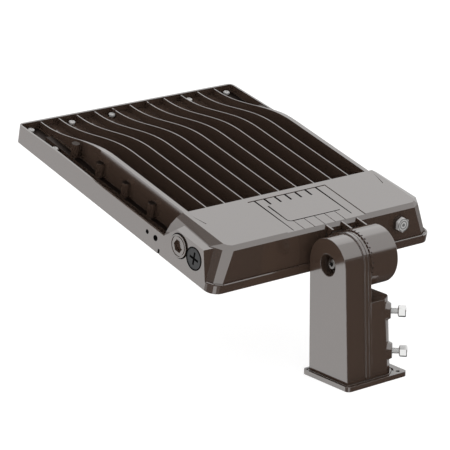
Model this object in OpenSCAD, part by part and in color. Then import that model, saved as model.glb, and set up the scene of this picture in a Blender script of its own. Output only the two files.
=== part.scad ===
// Shoebox area light on an adjustable slip fitter, sizes in millimetres
// Origin: centre of the tenon socket at the underside of the base flange, +Y to the head's front

/* [Head] */
// Width of the head
head_w = 370; // [350:1:410]
// Length of the head from rear to front
head_l = 447; // [430:1:500]
// Height of the rim at the front edge
rim_front_h = 25.5; // [23:0.5:28]
// Height of the rim along the sides
rim_side_h = 29.5; // [28:0.5:32]
// Thickness of the rim wall
rim_t = 3; // [2.5:0.5:4]
// Height of the heat sink floor above the bottom edge
floor_z = 15; // [14:0.5:17]
// Thickness of the heat sink floor
floor_t = 4; // [3:0.5:4.5]
// Radius of the two front corners
front_r = 8; // [5:1:12]
// Radius of the two rear corners
rear_r = 16; // [12:1:18]
// Angle of the head above level as it is shown
head_tilt = 14; // [0:1:20]
// Offset of the head's centre line from the slip fitter
head_x = -10; // [-14:1:-6]

/* [Fins] */
// Number of fins, the two outer walls included
fin_n = 11; // [9:1:11]
// Distance from fin to fin
fin_pitch = 30; // [27:0.5:30]
// Thickness of an inner fin
fin_t = 1.8; // [1.4:0.2:3]
// Thickness that the two outer walls reach
outer_fin_t = 6; // [4:0.5:7]
// Height of the fins where they are flat
fin_top = 56; // [52:0.5:57]
// Length of the curved rise of the fins
fin_rise_l = 170; // [150:5:190]

/* [Driver housing] */
// Length of the driver housing at the rear of the head
housing_l = 108.5; // [104:0.5:116]
// Height of the housing's flat top
housing_top = 57.7; // [57.5:0.1:60]
// Width of the housing's flat top
housing_top_w = 319; // [305:1:325]
// Wall of the housing
housing_t = 4; // [3:0.5:5]
// Height of the plain band around the rear
band_h = 11.5; // [10.5:0.5:13]
// Width and depth of the engraved lines
groove = 1; // [0.6:0.2:1.2]
// Depth of the sunk panel in the top
panel_depth = 0.7; // [0.4:0.1:1]

/* [Side plugs] */
// Radius of the round threaded plug
ring_plug_r = 15.5; // [13:0.5:15.5]
// Radius of the crossed plug
cross_plug_r = 14.6; // [12:0.2:14.8]
// Width across the flats of the hexagonal plug
hex_plug_af = 18; // [16:0.5:20]

/* [Optics] */
// Gap at the side and at the ends of the light emitting diode boards
board_side_gap = 5; // [3:0.5:8]
board_end_gap = 7.75; // [5:0.25:10]
// Lens domes across and along one lens panel
dome_cols = 6; // [4:1:6]
dome_rows = 6; // [4:1:6]
// Radius of a dome at the panel
dome_r = 8; // [6:0.5:8.5]

/* [Knuckle] */
// Radius of the knuckle
knuckle_r = 38; // [37:0.5:39]
// Length of the knuckle along its axis
knuckle_l = 45; // [42:1:50]
// Height of the tilt axis above the flange's underside
pivot_z = 156.5; // [154:0.5:165]
// Distance of the tilt axis behind the head
pivot_back = 39.5; // [39:0.5:44]
// Height of the tilt axis above the head's bottom
pivot_up = 33; // [30:0.5:34]
// Radius of the tilt bolt
bolt_r = 5; // [4.5:0.5:6]

/* [Slip fitter] */
// Radius of the socket for the pole tenon
tenon_r = 31; // [29:0.5:31.5]
// Depth of the tenon socket
tenon_depth = 102; // [90:1:103]
// Depth of the arm from front to back at its foot
arm_d = 75; // [74:0.5:80]
// Radius of the arm's round top
arm_top_r = 34.7; // [34:0.1:36]
// Width of the left half of the arm up to its lip
arm_left_w = 31; // [29:0.5:34]
// Height of the right half's box above the flange's underside
arm_right_h = 108; // [107:0.5:112]
// Width of the right half's box at its foot and at its top
arm_right_foot_w = 42; // [40:0.5:46]
arm_right_top_w = 38; // [36:0.5:40]
// Width, depth and thickness of the base flange
flange_w = 101; // [98:1:110]
flange_d = 91; // [88:1:100]
flange_t = 6.5; // [5:0.5:8]
// Radius of the clamp bolts
clamp_r = 4; // [3:0.5:5]
// Heights of the lower and upper clamp bolts
clamp_low_z = 35; // [30:1:38]
clamp_high_z = 89; // [84:1:90]

/* [Hidden] */
$fn = 48;
// Overrun of the cuts, and the small clearance of fitted pieces
cut = 1;
clear = 0.3;
fit = 0.08;
// Colours
bronze = [0.36, 0.31, 0.28];
bronze_light = [0.55, 0.52, 0.50];
steel = [0.82, 0.82, 0.84];
rubber = [0.10, 0.10, 0.10];
grey_plastic = [0.31, 0.31, 0.31];
lens_clear = [0.82, 0.87, 0.90];
board_white = [0.92, 0.92, 0.90];
// Centre line of the tilt axis
pivot_y = 3.5;
// Head plan
head_hw = head_w / 2;
arc_steps = 6;
rim_ramp_l = 95;
rim_lap = 10;
// Underside of the head: land, tray and optics
land_w = 18;
land_z = 5;
tray_land = 4;
tray_top = floor_z - floor_t;
tray_rear = housing_l + tray_land;
board_t = 1.6;
chip = 3.5;
chip_t = 0.6;
lens_t = 3;
dome_h = 3.5;
lens_lip = 4;
frame_t = 3;
frame_bar = 8;
board_gap = 6;
board_w = head_hw - rim_t - land_w - board_side_gap - board_gap / 2;
board_l = head_l - rim_t - land_w - tray_rear - 2 * board_end_gap;
lens_w = board_w - 2 * lens_lip;
lens_l = (board_l - frame_bar) / 2 - lens_lip;
lens_y = (lens_l + frame_bar) / 2;
window_w = lens_w - 2 * lens_lip;
window_l = lens_l - 2 * lens_lip;
dome_margin = 1;
dome_dx = (window_w - 2 * dome_r - 2 * dome_margin) / (dome_cols - 1);
dome_dy = (window_l - 2 * dome_r - 2 * dome_margin) / (dome_rows - 1);
dome_ball = (dome_r * dome_r + dome_h * dome_h) / (2 * dome_h);
board_x = (board_w + board_gap) / 2;
board_mid_y = (tray_rear + head_l - rim_t - land_w) / 2;
gasket_t = tray_top - board_t - land_z - lens_t;
// Perimeter screws
screw_r = 2.2;
screw_head_r = 4;
screw_head_h = 2.5;
head_round = 0.8;
slot_l = 4;
slot_w = 0.9;
slot_d = 1.2;
screw_in = 16;
screw_front_in = 10.5;
screw_rear_in = 35.5;
front_screws = 6;
side_screws = 5;
screw_x = head_hw - screw_in;
screw_y = head_l - screw_front_in;
screw_pitch_y = (screw_y - housing_l - screw_rear_in) / side_screws;
pad_r = 5.5;
pad_h = 1;
sunk_r = 5;
sunk_seat = 10;
boss_r = 5.5;
boss_h = 20;
boss_out_x = 9.5;
boss_wall_x = fin_pitch * (fin_n - 1) / 2 + boss_out_x;
ledge_w = 14;
ledge_h = 5;
ledge_front_in = 36;
boss_front_in = 90;
boss_front_y = screw_y - boss_front_in;
side_bosses = 4;
// Fins
fin_start_in = 7;
fin_start = head_l - fin_start_in;
fin_low = 1;
fin_front_z = rim_front_h - fin_low;
fin_steps = 18;
wall_grow_share = 0.85;
wall_grow_l = 55;
// Housing section: half widths at the band, the rim, the shoulders and the top
housing_taper = 2.5;
housing_rear_slope = 8.75;
top_rear = 15.5;
top_hw = housing_top_w / 2;
edge_h = 5.3;
edge_w = 13.6;
foot_in = 0.5;
// Points of a rear corner at the band, at the shoulder and at the top, in from the side and the rear
foot_corner = [[0, 16.4], [6.3, 6.3], [16.5, 0]];
shoulder_corner = [[0, 21.8], [9, 7.4], [21, 0]];
top_corner = [[0, 7.9], [3, 3.1], [8, 0]];
// Curve of the side from the rim up to the top, at the housing's front
side_x_shares = [1, 0.9, 0.69, 0.37, 0];
side_z_shares = [1, 0.8, 0.45, 0.17, 0];
bore_reach = 24;
// Engraved panel
panel_left = -62;
panel_right = 69;
panel_front_in = 9;
panel_front = housing_l - panel_front_in;
line_left = -50;
line_right = 52;
line_left_rear = 17;
line_right_rear = 24;
tick_pitch = 17.2;
ticks = 5;
tick_l = 15;
tick_w = 3;
frame_left = -41;
frame_right = 44;
frame_depth = 43;
frame_corner_r = 5;
frame_rear = 38.5;
// Long thin wedge cut beside each side edge of the top
wedge_x = [155.5, 148, 149.6];
wedge_y = [101, 72.5, 73.5];
// Marks on the left and right side walls
mark_r = 3;
mark_y = 142;
ring_mark_r = 4;
ring_mark_y = 124;
mark_z = 18;
mark_depth = 2;
slot_mark_y = 114;
slot_mark_w = 3.6;
slot_mark_h = 7;
// Side pod
pod_rear = 29;
pod_front = 86;
pod_top = 50.5;
pod_depth = 17;
pod_run = 12;
pod_skew = 2.5;
pod_rise = 1.5;
ring_plug_y = 75.8;
ring_plug_z = 32.2;
cross_plug_y = 44.6;
cross_plug_z = 30.3;
plug_proud = 2;
plug_l = 24;
// Hexagonal plug on the rear face
plug_step = 4;
plug_seat = 2.5;
seal_t = 1;
ring_w = 1.6;
ring_socket_af = 15.5;
ring_socket_depth = 4.5;
cross_l = 17.8;
cross_w = 3.4;
slope_a = atan(housing_rear_slope / (housing_top - band_h));
hex_side_in = 60;
hex_plug_x = head_hw - hex_side_in;
hex_plug_z = 36;
hex_plug_h = 6;
hex_thread_r = 7;
hex_thread_l = 12;
washer_h = 4;
// Driver door and compartment
door_t = 3;
door_z = 1;
door_in = 14;
door_ledge = 9;
door_gasket_t = 1.2;
compartment_z = band_h;
door_hw = head_hw - door_in;
door_rear = door_in;
door_front_in = 5;
door_front = housing_l - door_front_in;
tray_t = 1.5;
driver_left_in = 118;
driver_right_in = 62;
driver_rear_in = 15;
driver_front_in = 12.5;
driver_top_in = 8.7;
driver_len = head_w - driver_left_in - driver_right_in;
driver_w = door_front - door_rear - driver_rear_in - driver_front_in;
driver_h = housing_top - housing_t - compartment_z - tray_t - driver_top_in;
driver_x = (driver_left_in - driver_right_in) / 2;
driver_y = door_rear + driver_rear_in + driver_w / 2;
surge_w = 34;
surge_gap = 20;
surge_rear_in = 6;
surge_front_in = 29.5;
surge_x = driver_x - driver_len / 2 - surge_gap - surge_w / 2;
surge_rear = door_rear + surge_rear_in;
surge_len = door_front - surge_rear - surge_front_in;
surge_h = 28;
block_w = 16;
block_gap = 11;
block_front_in = 39.5;
block_x = surge_x - surge_w / 2 - block_gap - block_w / 2;
block_len = door_front - surge_rear - block_front_in;
block_h = 18;
block_ways = 4;
tray_screw_l = 5;
lead_r = 1.6;
lead_side_in = 45;
lead_x = head_hw - lead_side_in;
lead_z = tray_top - board_t - lead_r - fit;
lead_bend = 8;
lead_rise = 6;
lead_in = 4;
// Knuckle
knuckle_x = -4;
knuckle_wall = 10;
knuckle_bore_r = 30;
rib_t = 2.5;
cap_t = 4;
gasket_wall_t = 1.2;
notch_n = 36;
notch_w = 2;
notch_d = 1.2;
notch_l = 3;
notch_free_angle = 55;
neck_low = 13;
neck_high = 46;
neck_wing_low = 24;
neck_w = 54;
neck_gap = 0.4;
rib_low = 1.5;
rib_high = housing_top - rib_low;
neck_top = 24;
neck_bottom = 28;
neck_left = 1.5;
neck_inset = 1;
neck_x = knuckle_x + knuckle_l / 2 - neck_w / 2 - head_x - neck_left;
first_rib_in = 7;
cap_step = 2;
end_round = 2.5;
port_x = knuckle_x + knuckle_l / 2 - head_x;
port_z = 30;
port_r = 5;
root_screw_r = 2.5;
root_screw_l = 12;
root_screw_xs = [9, 36];
root_screw_zs = [21, 40];
root_head_af = 8;
root_head_h = 3.5;
nut_af = 17;
nut_h = 9;
bolt_tail = 3;
// Arm
arm_left_x = -45;
lip_t = 4.7;
seam_t = 0.6;
seam_ring_w = 3;
arm_steps = 36;
plate_t = 4.4;
lip_proud = 1.6;
recess_r = 14.5;
recess_depth = 16;
bolt_head_r = 7;
bolt_head_h = 8;
bolt_head_edge = 1;
bolt_washer_r = 11;
bolt_washer_t = 2;
socket_af = 6;
socket_depth = 5;
arm_wall = 6;
pivot_boss_r = 17.5;
stop_t = 5;
cable_hole_r = 8;
cable_hole_x = -20;
seam_x = arm_left_x + arm_left_w + lip_t;
plate_x = seam_x + seam_t;
box_x = plate_x + plate_t;
seam_screw_rad = 28.5;
seam_screw_angles = [40, 140, 270];
seam_screw_r = 2;
seam_head_r = 4;
seam_head_h = 2;
seam_screw_l = 20;
flange_screw_in = 7;
wire_hole_r = 4.5;
wire_hole_rad = 22.5;
wire_hole_angle = 200;
// Box of the right half: length of its front face, and its slanted corners
foot_face = 27.3;
top_face = 22.1;
corner_run = 9;
corner_in = 3;
corner_lip = 5;
arm_top_d = 71;
box_r_foot = arm_right_foot_w + box_x;
box_r_top = arm_right_top_w + box_x;
foot_chamfer = (box_x + foot_face + box_r_foot - corner_in + arm_d - corner_run) / sqrt(8);
top_chamfer = (box_x + top_face + box_r_top - corner_in + arm_top_d - corner_run) / sqrt(8);
boss_foot_r = 16;
boss_top_r = 9.8;
boss_in = 35;
boss_proud = 5.2;
clamp_head_af = 14;
clamp_head_h = 10.2;
clamp_gap = 9;
clamp_tip = tenon_r + clear;
flange_r = 6;
flange_hole_r = 2.7;
flange_hole_x = 40;
flange_hole_y = 38.5;
foot_groove = 2;
foot_groove_d = 1.5;
flange_screw_r = 2.5;
flange_head_r = 4.5;
flange_head_h = 3;
flange_screw_l = 20;

// Points along an arc
function arc_pts(cx, cy, r, a0, a1, n = arc_steps) =
    [for (i = [0:n]) let (a = a0 + (a1 - a0) * i / n) [cx + r * cos(a), cy + r * sin(a)]];
// Plan of the head, drawn in by d, from rear y0 to front y1
function plan_pts(d, y0, y1, rr, rf) = let (w = head_hw - d) concat(
    arc_pts(-w + rr, y0 + rr, rr, 180, 270),
    arc_pts(w - rr, y0 + rr, rr, 270, 360),
    arc_pts(w - rf, y1 - rf, rf, 0, 90),
    arc_pts(-w + rf, y1 - rf, rf, 90, 180));
function mirror_pts(p) = [for (v = p) [-v.x, v.y, v.z]];
// Height of a fin's top at y
function fin_z(y) = let (u = min(1, max(0, (fin_start - y) / fin_rise_l)))
    fin_front_z + (fin_top - fin_front_z) * (1 - cos(180 * u)) / 2;
// Rear face of the housing at height z, measured from the rear edge
function rear_y(z) = housing_taper + housing_rear_slope * max(0, z - band_h) / (housing_top - band_h);
// Three points round a rear corner of the housing
function corner_pts(x0, y0, points, z) = [for (p = points) [x0 - p.x, y0 + p.y, z]];
// Distance from the socket's axis to the slanted corner at height z, and to a clamp boss's face
function corner_at(z) = top_chamfer
    + (foot_chamfer - top_chamfer) * (arm_right_h - z) / (arm_right_h - flange_t);
function boss_out(z) = corner_at(z) + boss_proud;
// Front and back of the arm's outline, grown by d
function arm_pts(d) = concat(
    [[-arm_d / 2 - d, flange_t], [arm_d / 2 + d, flange_t]],
    arc_pts(pivot_y, pivot_z, arm_top_r + d, 0, 180, arm_steps));

// Solid that wraps a list of points
module wrap(pts) {
    hull() polyhedron(pts, [[for (i = [0:len(pts) - 1]) i]]);
}
// Profile in the YZ plane, extruded from x0 to x1
module side_prism(pts, x0, x1) {
    translate([x0, 0, 0]) rotate([90, 0, 90]) linear_extrude(x1 - x0) polygon(pts);
}
module rod_x(r, x0, x1) {
    translate([x0, 0, 0]) rotate([0, 90, 0]) cylinder(r = r, h = x1 - x0);
}
module hex_rod(af, h) {
    cylinder(r = af / sqrt(3), h = h, $fn = 6);
}
module block(x0, x1, y0, y1, z0, z1) {
    translate([x0, y0, z0]) cube([x1 - x0, y1 - y0, z1 - z0]);
}
// The head's own frame: origin at the middle of its bottom rear edge
module on_head() {
    translate([head_x, pivot_y, pivot_z]) rotate([head_tilt, 0, 0])
        translate([0, pivot_back, -pivot_up]) children();
}
// Frame of the tilt axis, turned with the head
module on_pivot() {
    translate([0, pivot_y, pivot_z]) rotate([head_tilt, 0, 0]) children();
}
// Frame of a clamp bolt: +Z points outwards through the corner on side s
module on_clamp(s, z) {
    translate([0, 0, z]) rotate([0, 0, 45 * s]) rotate([0, 90, 0]) children();
}
// Frame screws whose heads stand on pads, and those sunk along the sides
module pad_places() {
    for (i = [0:front_screws - 1])
        translate([screw_x * (2 * i / (front_screws - 1) - 1), screw_y, 0]) children();
    for (s = [-1, 1]) translate([s * screw_x, screw_y - screw_pitch_y, 0]) children();
}
module sunk_places() {
    for (s = [-1, 1]) for (j = [2:side_screws])
        translate([s * screw_x, screw_y - j * screw_pitch_y, 0]) children();
}

// Outer shape of the driver housing, walls drawn in by d
module housing_shape(d) {
    zt = housing_top - d;
    zs = zt - edge_h;
    yf = housing_l - d;
    foot_x = head_hw - foot_in;
    side_h = housing_top - rim_side_h;
    half = concat(
        [[foot_x - d, yf, band_h]],
        corner_pts(foot_x - d, housing_taper + d, foot_corner, band_h),
        corner_pts(top_hw + edge_w - d, rear_y(zs) + d, shoulder_corner, zs),
        corner_pts(top_hw - d, top_rear + d, top_corner, zt),
        [for (i = [0:len(side_x_shares) - 1])
            [top_hw - d + (foot_x - top_hw) * side_x_shares[i], yf, zt - side_h * side_z_shares[i]]]);
    wrap(concat(half, mirror_pts(half)));
}
// Raised block on the left side that carries the two round plugs
module pod_shape() {
    x0 = -head_hw;
    x1 = x0 + pod_depth;
    zt = pod_top + pod_rise;
    wrap([[x0, pod_rear, pod_top], [x0, pod_front, pod_top],
        [x0, pod_rear - pod_run, band_h], [x0, pod_rear - pod_run, 0],
        [x0, housing_l, rim_side_h], [x0, housing_l, 0],
        [x1, pod_rear - pod_skew, zt], [x1, pod_front + pod_skew, zt],
        [x1, pod_rear - pod_run, 0], [x1, housing_l, rim_side_h], [x1, housing_l, 0]]);
}
module fin(x0, x1) {
    ys = [for (i = [0:fin_steps]) fin_start - fin_rise_l * i / fin_steps];
    pts = concat([[housing_l - cut, tray_top + cut], [head_l - rim_t / 2, tray_top + cut],
        [head_l - rim_t / 2, fin_front_z]], [for (y = ys) [y, fin_z(y)]], [[housing_l - cut, fin_top]]);
    side_prism(pts, x0, x1);
}
// Outer wall on side s, which thickens outwards behind the rise
module outer_wall(s) {
    x = s * fin_pitch * (fin_n - 1) / 2;
    y = fin_start - fin_rise_l * wall_grow_share;
    fin(x - fin_t / 2, x + fin_t / 2);
    intersection() {
        fin(x - outer_fin_t, x + outer_fin_t);
        linear_extrude(housing_top) polygon([[x, housing_l - 2 * cut],
            [x + s * outer_fin_t, housing_l - 2 * cut], [x + s * outer_fin_t, y],
            [x + s * fin_t / 2, y + wall_grow_l], [x, y + wall_grow_l]]);
    }
}
module rim_walls() {
    difference() {
        union() {
            linear_extrude(rim_side_h) polygon(plan_pts(0, housing_l - rim_lap, head_l, cut, front_r));
            linear_extrude(band_h) polygon(plan_pts(0, 0, head_l, rear_r, front_r));
        }
        translate([0, 0, floor_z]) linear_extrude(rim_side_h)
            polygon(plan_pts(rim_t, housing_l - cut, head_l - rim_t, cut, front_r - rim_t));
        side_prism([[head_l + cut, rim_front_h], [head_l - rim_t, rim_front_h],
            [head_l - rim_ramp_l, rim_side_h], [head_l - rim_ramp_l, rim_side_h + cut],
            [head_l + cut, rim_side_h + cut]], -head_hw - cut, head_hw + cut);
    }
}
// Lines cut in the top: a sunk panel, ticks, and an open frame with lines running from it to the rear
module engraving() {
    z0 = housing_top - panel_depth;
    z1 = z0 - groove;
    zt = housing_top + cut;
    block(panel_left, panel_right, top_rear - cut, panel_front, z0, zt);
    block(line_left - groove, line_left, line_left_rear, panel_front, z1, zt);
    block(line_right, line_right + groove, line_right_rear, panel_front, z1, zt);
    for (i = [0:ticks - 1]) {
        x = (i - (ticks - 1) / 2) * tick_pitch;
        block(x - tick_w / 2, x + tick_w / 2, panel_front - tick_l, panel_front, z1, zt);
        block(x - groove / 2, x + groove / 2, top_rear - cut, frame_rear - groove / 2, z1, zt);
    }
    block(frame_left - groove, frame_left, frame_rear + frame_corner_r, frame_rear + frame_depth, z1, zt);
    block(frame_left + frame_corner_r, frame_right, frame_rear - groove, frame_rear, z1, zt);
    translate([frame_left + frame_corner_r, frame_rear + frame_corner_r, z1]) rotate([0, 0, 180])
        rotate_extrude(angle = 90) translate([frame_corner_r, 0]) square([groove, zt - z1]);
    for (s = [-1, 1]) translate([0, 0, z0]) linear_extrude(zt - z0)
        polygon([for (i = [0:2]) [s * wedge_x[i], wedge_y[i]]]);
}
// Two round marks and a notch in each side wall
module side_marks() {
    for (s = [-1, 1]) translate([s * head_hw, 0, mark_z]) {
        translate([0, mark_y, 0]) rod_x(mark_r, -mark_depth, mark_depth);
        translate([0, ring_mark_y, 0]) difference() {
            rod_x(ring_mark_r, -mark_depth, mark_depth);
            rod_x(ring_mark_r / 2, -mark_depth - cut, mark_depth + cut);
        }
        block(-mark_depth, mark_depth, slot_mark_y - slot_mark_w / 2, slot_mark_y + slot_mark_w / 2,
            -mark_z - cut, slot_mark_h - mark_z);
    }
}

module heat_sink_body() color(bronze) on_head() {
    x_last = (fin_n - 1) / 2 * fin_pitch;
    difference() {
        union() {
            rim_walls();
            housing_shape(0);
            pod_shape();
            for (i = [1:fin_n - 2])
                fin(i * fin_pitch - x_last - fin_t / 2, i * fin_pitch - x_last + fin_t / 2);
            for (s = [-1, 1]) {
                outer_wall(s);
                x0 = s < 0 ? -x_last - ledge_w : x_last;
                block(x0, x0 + ledge_w, housing_l - cut, head_l - rim_t - ledge_front_in,
                    floor_z - cut, floor_z + ledge_h);
                for (j = [0:side_bosses - 1])
                    translate([s * boss_wall_x, boss_front_y - j * screw_pitch_y, floor_z]) {
                        cylinder(r = boss_r, h = ledge_h + boss_h);
                        block(min(0, -s * boss_r), max(0, -s * boss_r), -boss_r / 2, boss_r / 2,
                            0, ledge_h + boss_h - cut);
                    }
            }
            pad_places() translate([0, 0, floor_z - cut]) cylinder(r = pad_r, h = pad_h + cut);
        }
        // tray for the boards and the frame, from below
        translate([0, 0, -cut]) linear_extrude(land_z + cut)
            polygon(plan_pts(rim_t, tray_rear, head_l - rim_t, cut, front_r - rim_t));
        block(-head_hw + rim_t + land_w, head_hw - rim_t - land_w, tray_rear + tray_land,
            head_l - rim_t - land_w, -cut, tray_top);
        // driver compartment and its door opening
        housing_shape(housing_t);
        block(-door_hw + door_ledge, door_hw - door_ledge, door_rear + door_ledge,
            door_front - door_ledge, -cut, band_h + cut);
        block(-door_hw, door_hw, door_rear, door_front, -cut, door_z + door_t + door_gasket_t);
        pad_places() translate([0, 0, land_z - cut]) cylinder(r = screw_r + fit, h = floor_z + pad_h);
        sunk_places() translate([0, 0, land_z - cut]) cylinder(r = screw_r + fit, h = floor_z);
        sunk_places() translate([0, 0, sunk_seat]) cylinder(r = sunk_r, h = floor_z);
        pad_places() translate([0, 0, floor_z + pad_h]) cylinder(r = screw_head_r + clear, h = floor_z);
        engraving();
        side_marks();
        plug_bores();
        door_screw_places() translate([0, 0, door_z])
            cylinder(r = screw_r + fit, h = band_h - door_z - cut);
        lead_bores();
        knuckle_screw_places() rear_bore(root_screw_r + fit);
        on_rear(port_x, port_z) rear_bore(port_r);
        tray_screw_places() translate([0, 0, band_h - tray_screw_l])
            cylinder(r = screw_r + fit, h = band_h);
    }
}
module plug_bores() {
    for (v = [[ring_plug_y, ring_plug_z, ring_plug_r], [cross_plug_y, cross_plug_z, cross_plug_r]])
        translate([-head_hw, v[0], v[1]]) {
            rod_x(v[2] - plug_step + fit, -cut, plug_l + cut);
            rod_x(v[2] + fit, -cut, plug_seat);
        }
    on_rear(hex_plug_x, hex_plug_z) rear_bore(hex_thread_r + fit);
}
// A place on the slanted rear face, +Z pointing out of it
module on_rear(x, z) {
    translate([x, rear_y(z), z]) rotate([90 - slope_a, 0, 0]) children();
}
module rear_bore(r) {
    translate([0, 0, -bore_reach]) cylinder(r = r, h = bore_reach + cut);
}
module lead_bores() {
    for (s = [-1, 1]) translate([s * lead_x, door_front - door_ledge - cut, lead_z]) rotate([-90, 0, 0])
        cylinder(r = lead_r + fit, h = tray_rear - door_front + door_ledge + tray_land + 2 * cut);
}
module door_screw_places() {
    for (x = [-1, 0, 1]) for (y = [door_rear + door_ledge / 2, door_front - door_ledge / 2])
        translate([x * (door_hw - door_ledge / 2), y, 0]) children();
}
module tray_screw_places() {
    for (x = [-1, 1]) for (y = [door_rear + door_ledge / 2, door_front - door_ledge / 2])
        translate([driver_x + x * driver_len / 2, y, 0]) children();
}
module knuckle_screw_places() {
    for (x = root_screw_xs) for (z = root_screw_zs) on_rear(knuckle_x + x - head_x, z) children();
}

// Screw along +Z: head above the seat at zero, shank of length l below
module pan_screw(l) {
    difference() {
        union() {
            cylinder(r1 = screw_head_r, r2 = screw_head_r - head_round, h = screw_head_h);
            translate([0, 0, -l]) cylinder(r = screw_r, h = l + cut / 2);
        }
        for (a = [0, 90]) rotate([0, 0, a]) translate([-slot_l / 2, -slot_w / 2, screw_head_h - slot_d])
            cube([slot_l, slot_w, slot_d + cut]);
    }
}

module driver_door() color(bronze) on_head() difference() {
    block(-door_hw + clear, door_hw - clear, door_rear + clear, door_front - clear,
        door_z, door_z + door_t);
    block(-door_hw + 3 * door_ledge, door_hw - 3 * door_ledge, door_rear + 2 * door_ledge,
        door_front - 2 * door_ledge, door_z - cut, door_z + door_t / 3);
    door_screw_places() translate([0, 0, door_z - cut]) {
        cylinder(r = screw_r + fit, h = door_t + 2 * cut);
        cylinder(r = screw_head_r + clear, h = cut + door_t / 2);
    }
}
module door_gasket() color(rubber) on_head() difference() {
    z0 = door_z + door_t;
    block(-door_hw + clear, door_hw - clear, door_rear + clear, door_front - clear,
        z0, z0 + door_gasket_t);
    block(-door_hw + door_ledge, door_hw - door_ledge, door_rear + door_ledge, door_front - door_ledge,
        z0 - cut, z0 + door_gasket_t + cut);
    door_screw_places() translate([0, 0, z0 - cut])
        cylinder(r = screw_r + fit, h = door_gasket_t + 2 * cut);
}
module door_screws() color(steel) on_head() door_screw_places()
    translate([0, 0, door_z + door_t / 2]) mirror([0, 0, 1])
        pan_screw(band_h - door_z - door_t / 2 - 2 * cut);

module lens_places(xs, ys) {
    for (x = xs) for (y = ys) translate([x * board_x, board_mid_y + y * lens_y, 0]) children();
}
module optic_frame() color(bronze) on_head() difference() {
    translate([0, 0, land_z - frame_t]) linear_extrude(frame_t)
        polygon(plan_pts(rim_t + clear, tray_rear + clear, head_l - rim_t - clear, cut, front_r - rim_t));
    lens_places([-1, 1], [-1, 1])
        block(-window_w / 2, window_w / 2, -window_l / 2, window_l / 2, 0, land_z + cut);
    pad_places() cylinder(r = screw_r + fit, h = land_z + cut);
    sunk_places() cylinder(r = screw_r + fit, h = land_z + cut);
}
module frame_screws() color(steel) on_head() {
    pad_places() translate([0, 0, floor_z + pad_h]) pan_screw(floor_z + pad_h - land_z + frame_t);
    sunk_places() translate([0, 0, sunk_seat]) pan_screw(sunk_seat - land_z + frame_t);
}
module led_board(s) color(board_white) on_head() {
    translate([s * board_x, board_mid_y, tray_top - board_t])
        block(-board_w / 2, board_w / 2, -board_l / 2, board_l / 2, 0, board_t);
    lens_places([s], [-1, 1]) dome_places()
        block(-chip / 2, chip / 2, -chip / 2, chip / 2,
            tray_top - board_t - chip_t, tray_top - board_t / 2);
}
module dome_places() {
    for (i = [0:dome_cols - 1]) for (j = [0:dome_rows - 1])
        translate([(i - (dome_cols - 1) / 2) * dome_dx, (j - (dome_rows - 1) / 2) * dome_dy, 0])
            children();
}
module lens_panel(sx, sy) color(lens_clear) on_head() lens_places([sx], [sy]) {
    block(-lens_w / 2, lens_w / 2, -lens_l / 2, lens_l / 2, land_z, land_z + lens_t);
    intersection() {
        dome_places() translate([0, 0, land_z - dome_h + dome_ball]) sphere(r = dome_ball);
        block(-lens_w / 2, lens_w / 2, -lens_l / 2, lens_l / 2, 0, land_z + lens_t / 2);
    }
}
module lens_gaskets() color(rubber) on_head() lens_places([-1, 1], [-1, 1]) difference() {
    block(-lens_w / 2, lens_w / 2, -lens_l / 2, lens_l / 2, land_z + lens_t, land_z + lens_t + gasket_t);
    block(-window_w / 2, window_w / 2, -window_l / 2, window_l / 2, land_z, tray_top);
}

// Bend of a lead, a quarter turn from +X to +Y about the origin
module bend() {
    rotate_extrude(angle = 90) translate([lead_bend, 0]) circle(r = lead_r, $fn = 16);
}
module board_leads() color(rubber) on_head() for (s = [-1, 1]) {
    z1 = lead_z + 2 * lead_bend + lead_rise;
    yb = door_front - 2 * door_ledge;
    xd = s < 0 ? driver_x - driver_len / 2 : driver_x + driver_len / 2;
    translate([s * lead_x, yb, lead_z]) rotate([-90, 0, 0])
        cylinder(r = lead_r, h = board_mid_y - board_l / 2 + lead_in - yb, $fn = 16);
    translate([s * lead_x, yb, lead_z + lead_bend]) rotate([0, 90, 0]) rotate([0, 0, -90]) bend();
    translate([s * lead_x, yb - lead_bend, lead_z + lead_bend])
        cylinder(r = lead_r, h = lead_rise, $fn = 16);
    translate([s * (lead_x - lead_bend), yb - lead_bend, z1 - lead_bend]) rotate([90, 0, 0])
        rotate([0, 0, s > 0 ? 0 : 90]) bend();
    translate([0, yb - lead_bend, z1])
        rod_x(lead_r, min(xd, s * (lead_x - lead_bend)), max(xd, s * (lead_x - lead_bend)));
}
module led_driver() color("silver") on_head() {
    z0 = compartment_z + tray_t;
    x0 = driver_x - driver_len / 2;
    block(x0, x0 + driver_len, driver_y - driver_w / 2, driver_y + driver_w / 2, z0, z0 + driver_h);
}
module driver_tray() color("gainsboro") on_head() difference() {
    block(block_x - block_w, driver_x + driver_len / 2 + door_ledge, door_rear + clear, door_front - clear,
        compartment_z, compartment_z + tray_t);
    tray_screw_places() translate([0, 0, compartment_z - cut])
        cylinder(r = screw_r + fit, h = tray_t + 2 * cut);
    translate([-lead_x, door_front - 2 * door_ledge - lead_bend, compartment_z - cut])
        cylinder(r = 3 * lead_r, h = tray_t + 2 * cut);
}
module tray_screws() color(steel) on_head() tray_screw_places()
    translate([0, 0, compartment_z + tray_t]) pan_screw(tray_screw_l + tray_t - cut);
module surge_protector() color("darkslategray") on_head()
    block(surge_x - surge_w / 2, surge_x + surge_w / 2, surge_rear, surge_rear + surge_len,
        compartment_z + tray_t, compartment_z + tray_t + surge_h);
module terminal_block() color("ivory") on_head() difference() {
    z0 = compartment_z + tray_t;
    way_l = block_len / block_ways;
    block(block_x - block_w / 2, block_x + block_w / 2, surge_rear, surge_rear + block_len,
        z0, z0 + block_h);
    for (i = [0:block_ways - 1])
        translate([block_x, surge_rear + (i + 1 / 2) * way_l, z0 + block_h / 2])
            cylinder(r = lead_r, h = block_h);
}
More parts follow.
